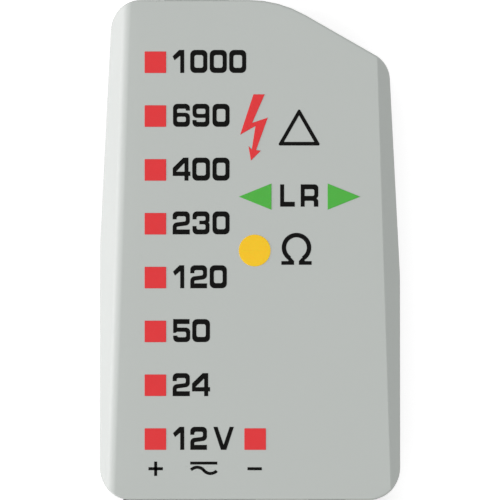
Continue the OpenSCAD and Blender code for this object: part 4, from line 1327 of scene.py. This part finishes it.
@dataclass
class GripInlay:
    """Rubber inlay round the front of the grip, sunk a little and crossed by rounded ribs.

    Its section is an arc on each side of a flat top that is as wide as the spread.
    """

    name: str = "ribbed_grip_inlay"
    body: Body = Body.TESTER
    replaced: tuple[str, ...] = ("grip_inlay",)
    x: float = GRIP_X
    spread: float = 4.0
    edge_z: float = 19.0
    radius: float = 14.5
    top_y: float = -99.25
    length: float = 50.0
    depth: float = 1.1
    sunk: float = 0.5
    chamfer: float = 0.2
    gap: float = 0.02
    ribs: int = 11
    rib_pitch: float = 4.2
    rib_rise: float = 0.75
    rib_half: float = 1.25
    rib_steps: int = 8
    rib_fullness: float = 0.8
    turn_steps: int = 20

    def profile(self) -> Points:
        """Closed profile of (radius, Y): the ribbed skin and the flat back of it."""
        skin, back = self.radius - self.sunk, self.radius - self.depth
        top, low = self.top_y, self.top_y - self.length
        points = [(skin - self.chamfer, top - self.gap), (skin, top - self.chamfer)]
        for i in range(self.ribs):
            middle = top - self.rib_pitch * (i + 1)
            for step in range(self.rib_steps + 1):
                share = step / self.rib_steps
                rise = self.rib_rise * math.sin(math.pi * share) ** self.rib_fullness
                points.append((skin + rise, middle + self.rib_half * (1 - 2 * share)))
        points += [(skin, low + self.chamfer), (skin - self.chamfer, low + self.gap)]
        return points + [(back, low + self.gap), (back, top - self.gap)]

    def build(self) -> None:
        """Spins the profile up one side, draws it over the top and spins it down the other."""
        mesh = bmesh.new()
        start = math.asin((self.edge_z - AXIS_Z) / self.radius)
        right, left = (Vector((self.x + way * self.spread / 2, 0, AXIS_Z)) for way in (1, -1))
        out = Vector((math.cos(start), 0, math.sin(start)))
        ring = [mesh.verts.new(right + out * r + ALONG * y) for r, y in self.profile()]
        first = [mesh.edges.new(pair) for pair in zip(ring, ring[1:] + ring[:1])]
        around = {"axis": ALONG, "angle": start - math.pi / 2, "steps": self.turn_steps}
        top = only(bmesh.ops.spin(mesh, geom=first, cent=right, **around)["geom_last"], BMEdge)
        if self.spread:
            top = extend_edges(mesh, top, left - right)
        last = only(bmesh.ops.spin(mesh, geom=top, cent=left, **around)["geom_last"], BMEdge)
        bmesh.ops.edgeloop_fill(mesh, edges=first)
        bmesh.ops.edgeloop_fill(mesh, edges=last)
        finish_piece(self.name, mesh, BLACK_RUBBER, self.body, self.replaced)


@dataclass
class HandleStrip(GripInlay):
    """Thin ribbed rubber strip over the front of the second probe's handle."""

    name: str = "ribbed_handle_strip"
    body: Body = Body.SECOND
    replaced: tuple[str, ...] = ()
    x: float = SECOND_X
    spread: float = 0.0
    radius: float = 11.0
    top_y: float = -98.0
    length: float = 38.0
    depth: float = 0.9
    sunk: float = -0.05
    ribs: int = 8
    rib_rise: float = 0.4


# The studio


@dataclass
class Studio:
    """Pale floor, even daylight, a low key from the left and the photograph's camera."""

    frame_width: float = 106.55
    centre_y: float = 29.0
    focus_z: float = 28.0
    lens: float = 600.0
    sensor: float = 36.0
    clip: tuple[float, float] = (100.0, 50000.0)
    floor_half: float = 20000.0
    floor_glow: float = 0.6
    sky: float = 0.42
    aim_z: float = 30.0
    key_light: float = 0.82
    key_colour: Sequence[float] = (1.0, 0.95, 0.99)
    key_size: float = 300.0
    key_distance: float = 900.0
    key_height: float = 150.0
    top_light: float = 0.51
    top_size: float = 1200.0
    top_height: float = 1200.0

    def place(self, x: float, z: float) -> Vector:
        """Point in metres above the middle of the picture, or beside it."""
        return Vector((x * MM, self.centre_y * MM, z * MM))

    def seen_rays(self, tree: NodeTree) -> NodeSocket:
        """Socket that is 1 for camera, mirror and glass rays, and 0 for the light on a surface.

        Args:
            tree: Node tree that gets the nodes.

        Returns:
            The output socket.
        """
        path = add_node(tree, "ShaderNodeLightPath")
        seen = path.outputs["Is Camera Ray"]
        for ray in ("Is Glossy Ray", "Is Transmission Ray"):
            either = {0: seen, 1: path.outputs[ray]}
            seen = add_node(tree, "ShaderNodeMath", links=either, operation="MAXIMUM").outputs[0]
        return seen

    def floor(self) -> None:
        """Large pale floor that the tester lies on, as white as paper where it is seen."""
        mesh = bmesh.new()
        bmesh.ops.create_grid(mesh, x_segments=1, y_segments=1, size=self.floor_half * MM)
        data = mesh_data("floor", mesh)
        # Matt white paper: flat and even, so that only the tester's shadow shows on it.
        paint = bpy.data.materials.new("paper_white_matt")
        tree = empty_tree(paint)
        seen = {0: self.seen_rays(tree)}
        glow = add_node(tree, "ShaderNodeMath", {1: self.floor_glow}, seen, operation="MULTIPLY")
        shine = add_node(tree, "ShaderNodeEmission", links={"Strength": glow.outputs[0]})
        matt = add_node(tree, "ShaderNodeBsdfDiffuse", {"Color": linear("#E6E6E6")})
        sides = {0: shine.outputs[0], 1: matt.outputs[0]}
        both = add_node(tree, "ShaderNodeAddShader", links=sides)
        add_node(tree, "ShaderNodeOutputMaterial", links={"Surface": both.outputs[0]})
        data.materials.append(paint)
        add_object("floor", data)

    def daylight(self) -> None:
        """Even sky that camera, mirror and glass rays see as white."""
        world = bpy.data.worlds.new("daylight")
        bpy.context.scene.world = world
        tree = empty_tree(world)
        seen, levels = {"Value": self.seen_rays(tree)}, {"To Min": self.sky, "To Max": 1.0}
        strength = {"Strength": add_node(tree, "ShaderNodeMapRange", levels, seen).outputs[0]}
        sky = add_node(tree, "ShaderNodeBackground", {"Color": linear("#FFFFFF")}, strength)
        add_node(tree, "ShaderNodeOutputWorld", links={"Surface": sky.outputs[0]})

    def lamp(
        self, name: str, place: Vector, size: float, level: float, colour: Sequence[float]
    ) -> None:
        """Adds a large area lamp that points at the head.

        Args:
            name: Name of the lamp.
            place: Where it stands, in metres.
            size: Its side, in millimetres.
            level: Light on a surface that faces it, where 1 shows a colour as it is written.
            colour: Linear colour of the light.
        """
        target = self.place(0.0, self.aim_z)
        light = bpy.data.lights.new(name, "AREA")
        light.shape = "SQUARE"
        light.size = size * MM
        light.color = colour
        light.energy = level * math.pi**2 * (place - target).length_squared
        lamp = add_object(name, light)
        lamp.location = place
        lamp.rotation_euler = (target - place).to_track_quat("-Z", "Y").to_euler()

    def camera(self) -> None:
        """Camera that looks straight down on the face, as the photograph does."""
        data = bpy.data.cameras.new("camera")
        data.lens = self.lens
        data.sensor_width = self.sensor
        data.clip_start, data.clip_end = (distance * MM for distance in self.clip)
        camera = add_object("camera", data)
        reach = self.frame_width * self.lens / self.sensor
        camera.location = self.place(0.0, self.focus_z + reach)
        bpy.context.scene.camera = camera

    def build(self) -> None:
        """Sets the floor, the light and the camera."""
        self.floor()
        self.daylight()
        key = self.place(-self.key_distance, self.key_height)
        self.lamp("key_left", key, self.key_size, self.key_light, self.key_colour)
        top = self.place(0.0, self.top_height)
        self.lamp("soft_top", top, self.top_size, self.top_light, (1.0, 1.0, 1.0))
        self.camera()
        bpy.context.scene.view_settings.view_transform = "Standard"


def main() -> None:
    """Builds the tester on its frame, then the studio."""
    logging.basicConfig(level=logging.INFO, format="%(name)s: %(message)s")
    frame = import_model()
    windows = WindowShapes()
    dress_nodes(frame["nodes"])
    DisplayCover().build(windows)
    Lenses().build(windows)
    Lettering().build()
    for part in ROUND_PARTS:
        part.build()
    GripInlay().build()
    HandleStrip().build()
    Studio().build()


if __name__ == "__main__":
    main()
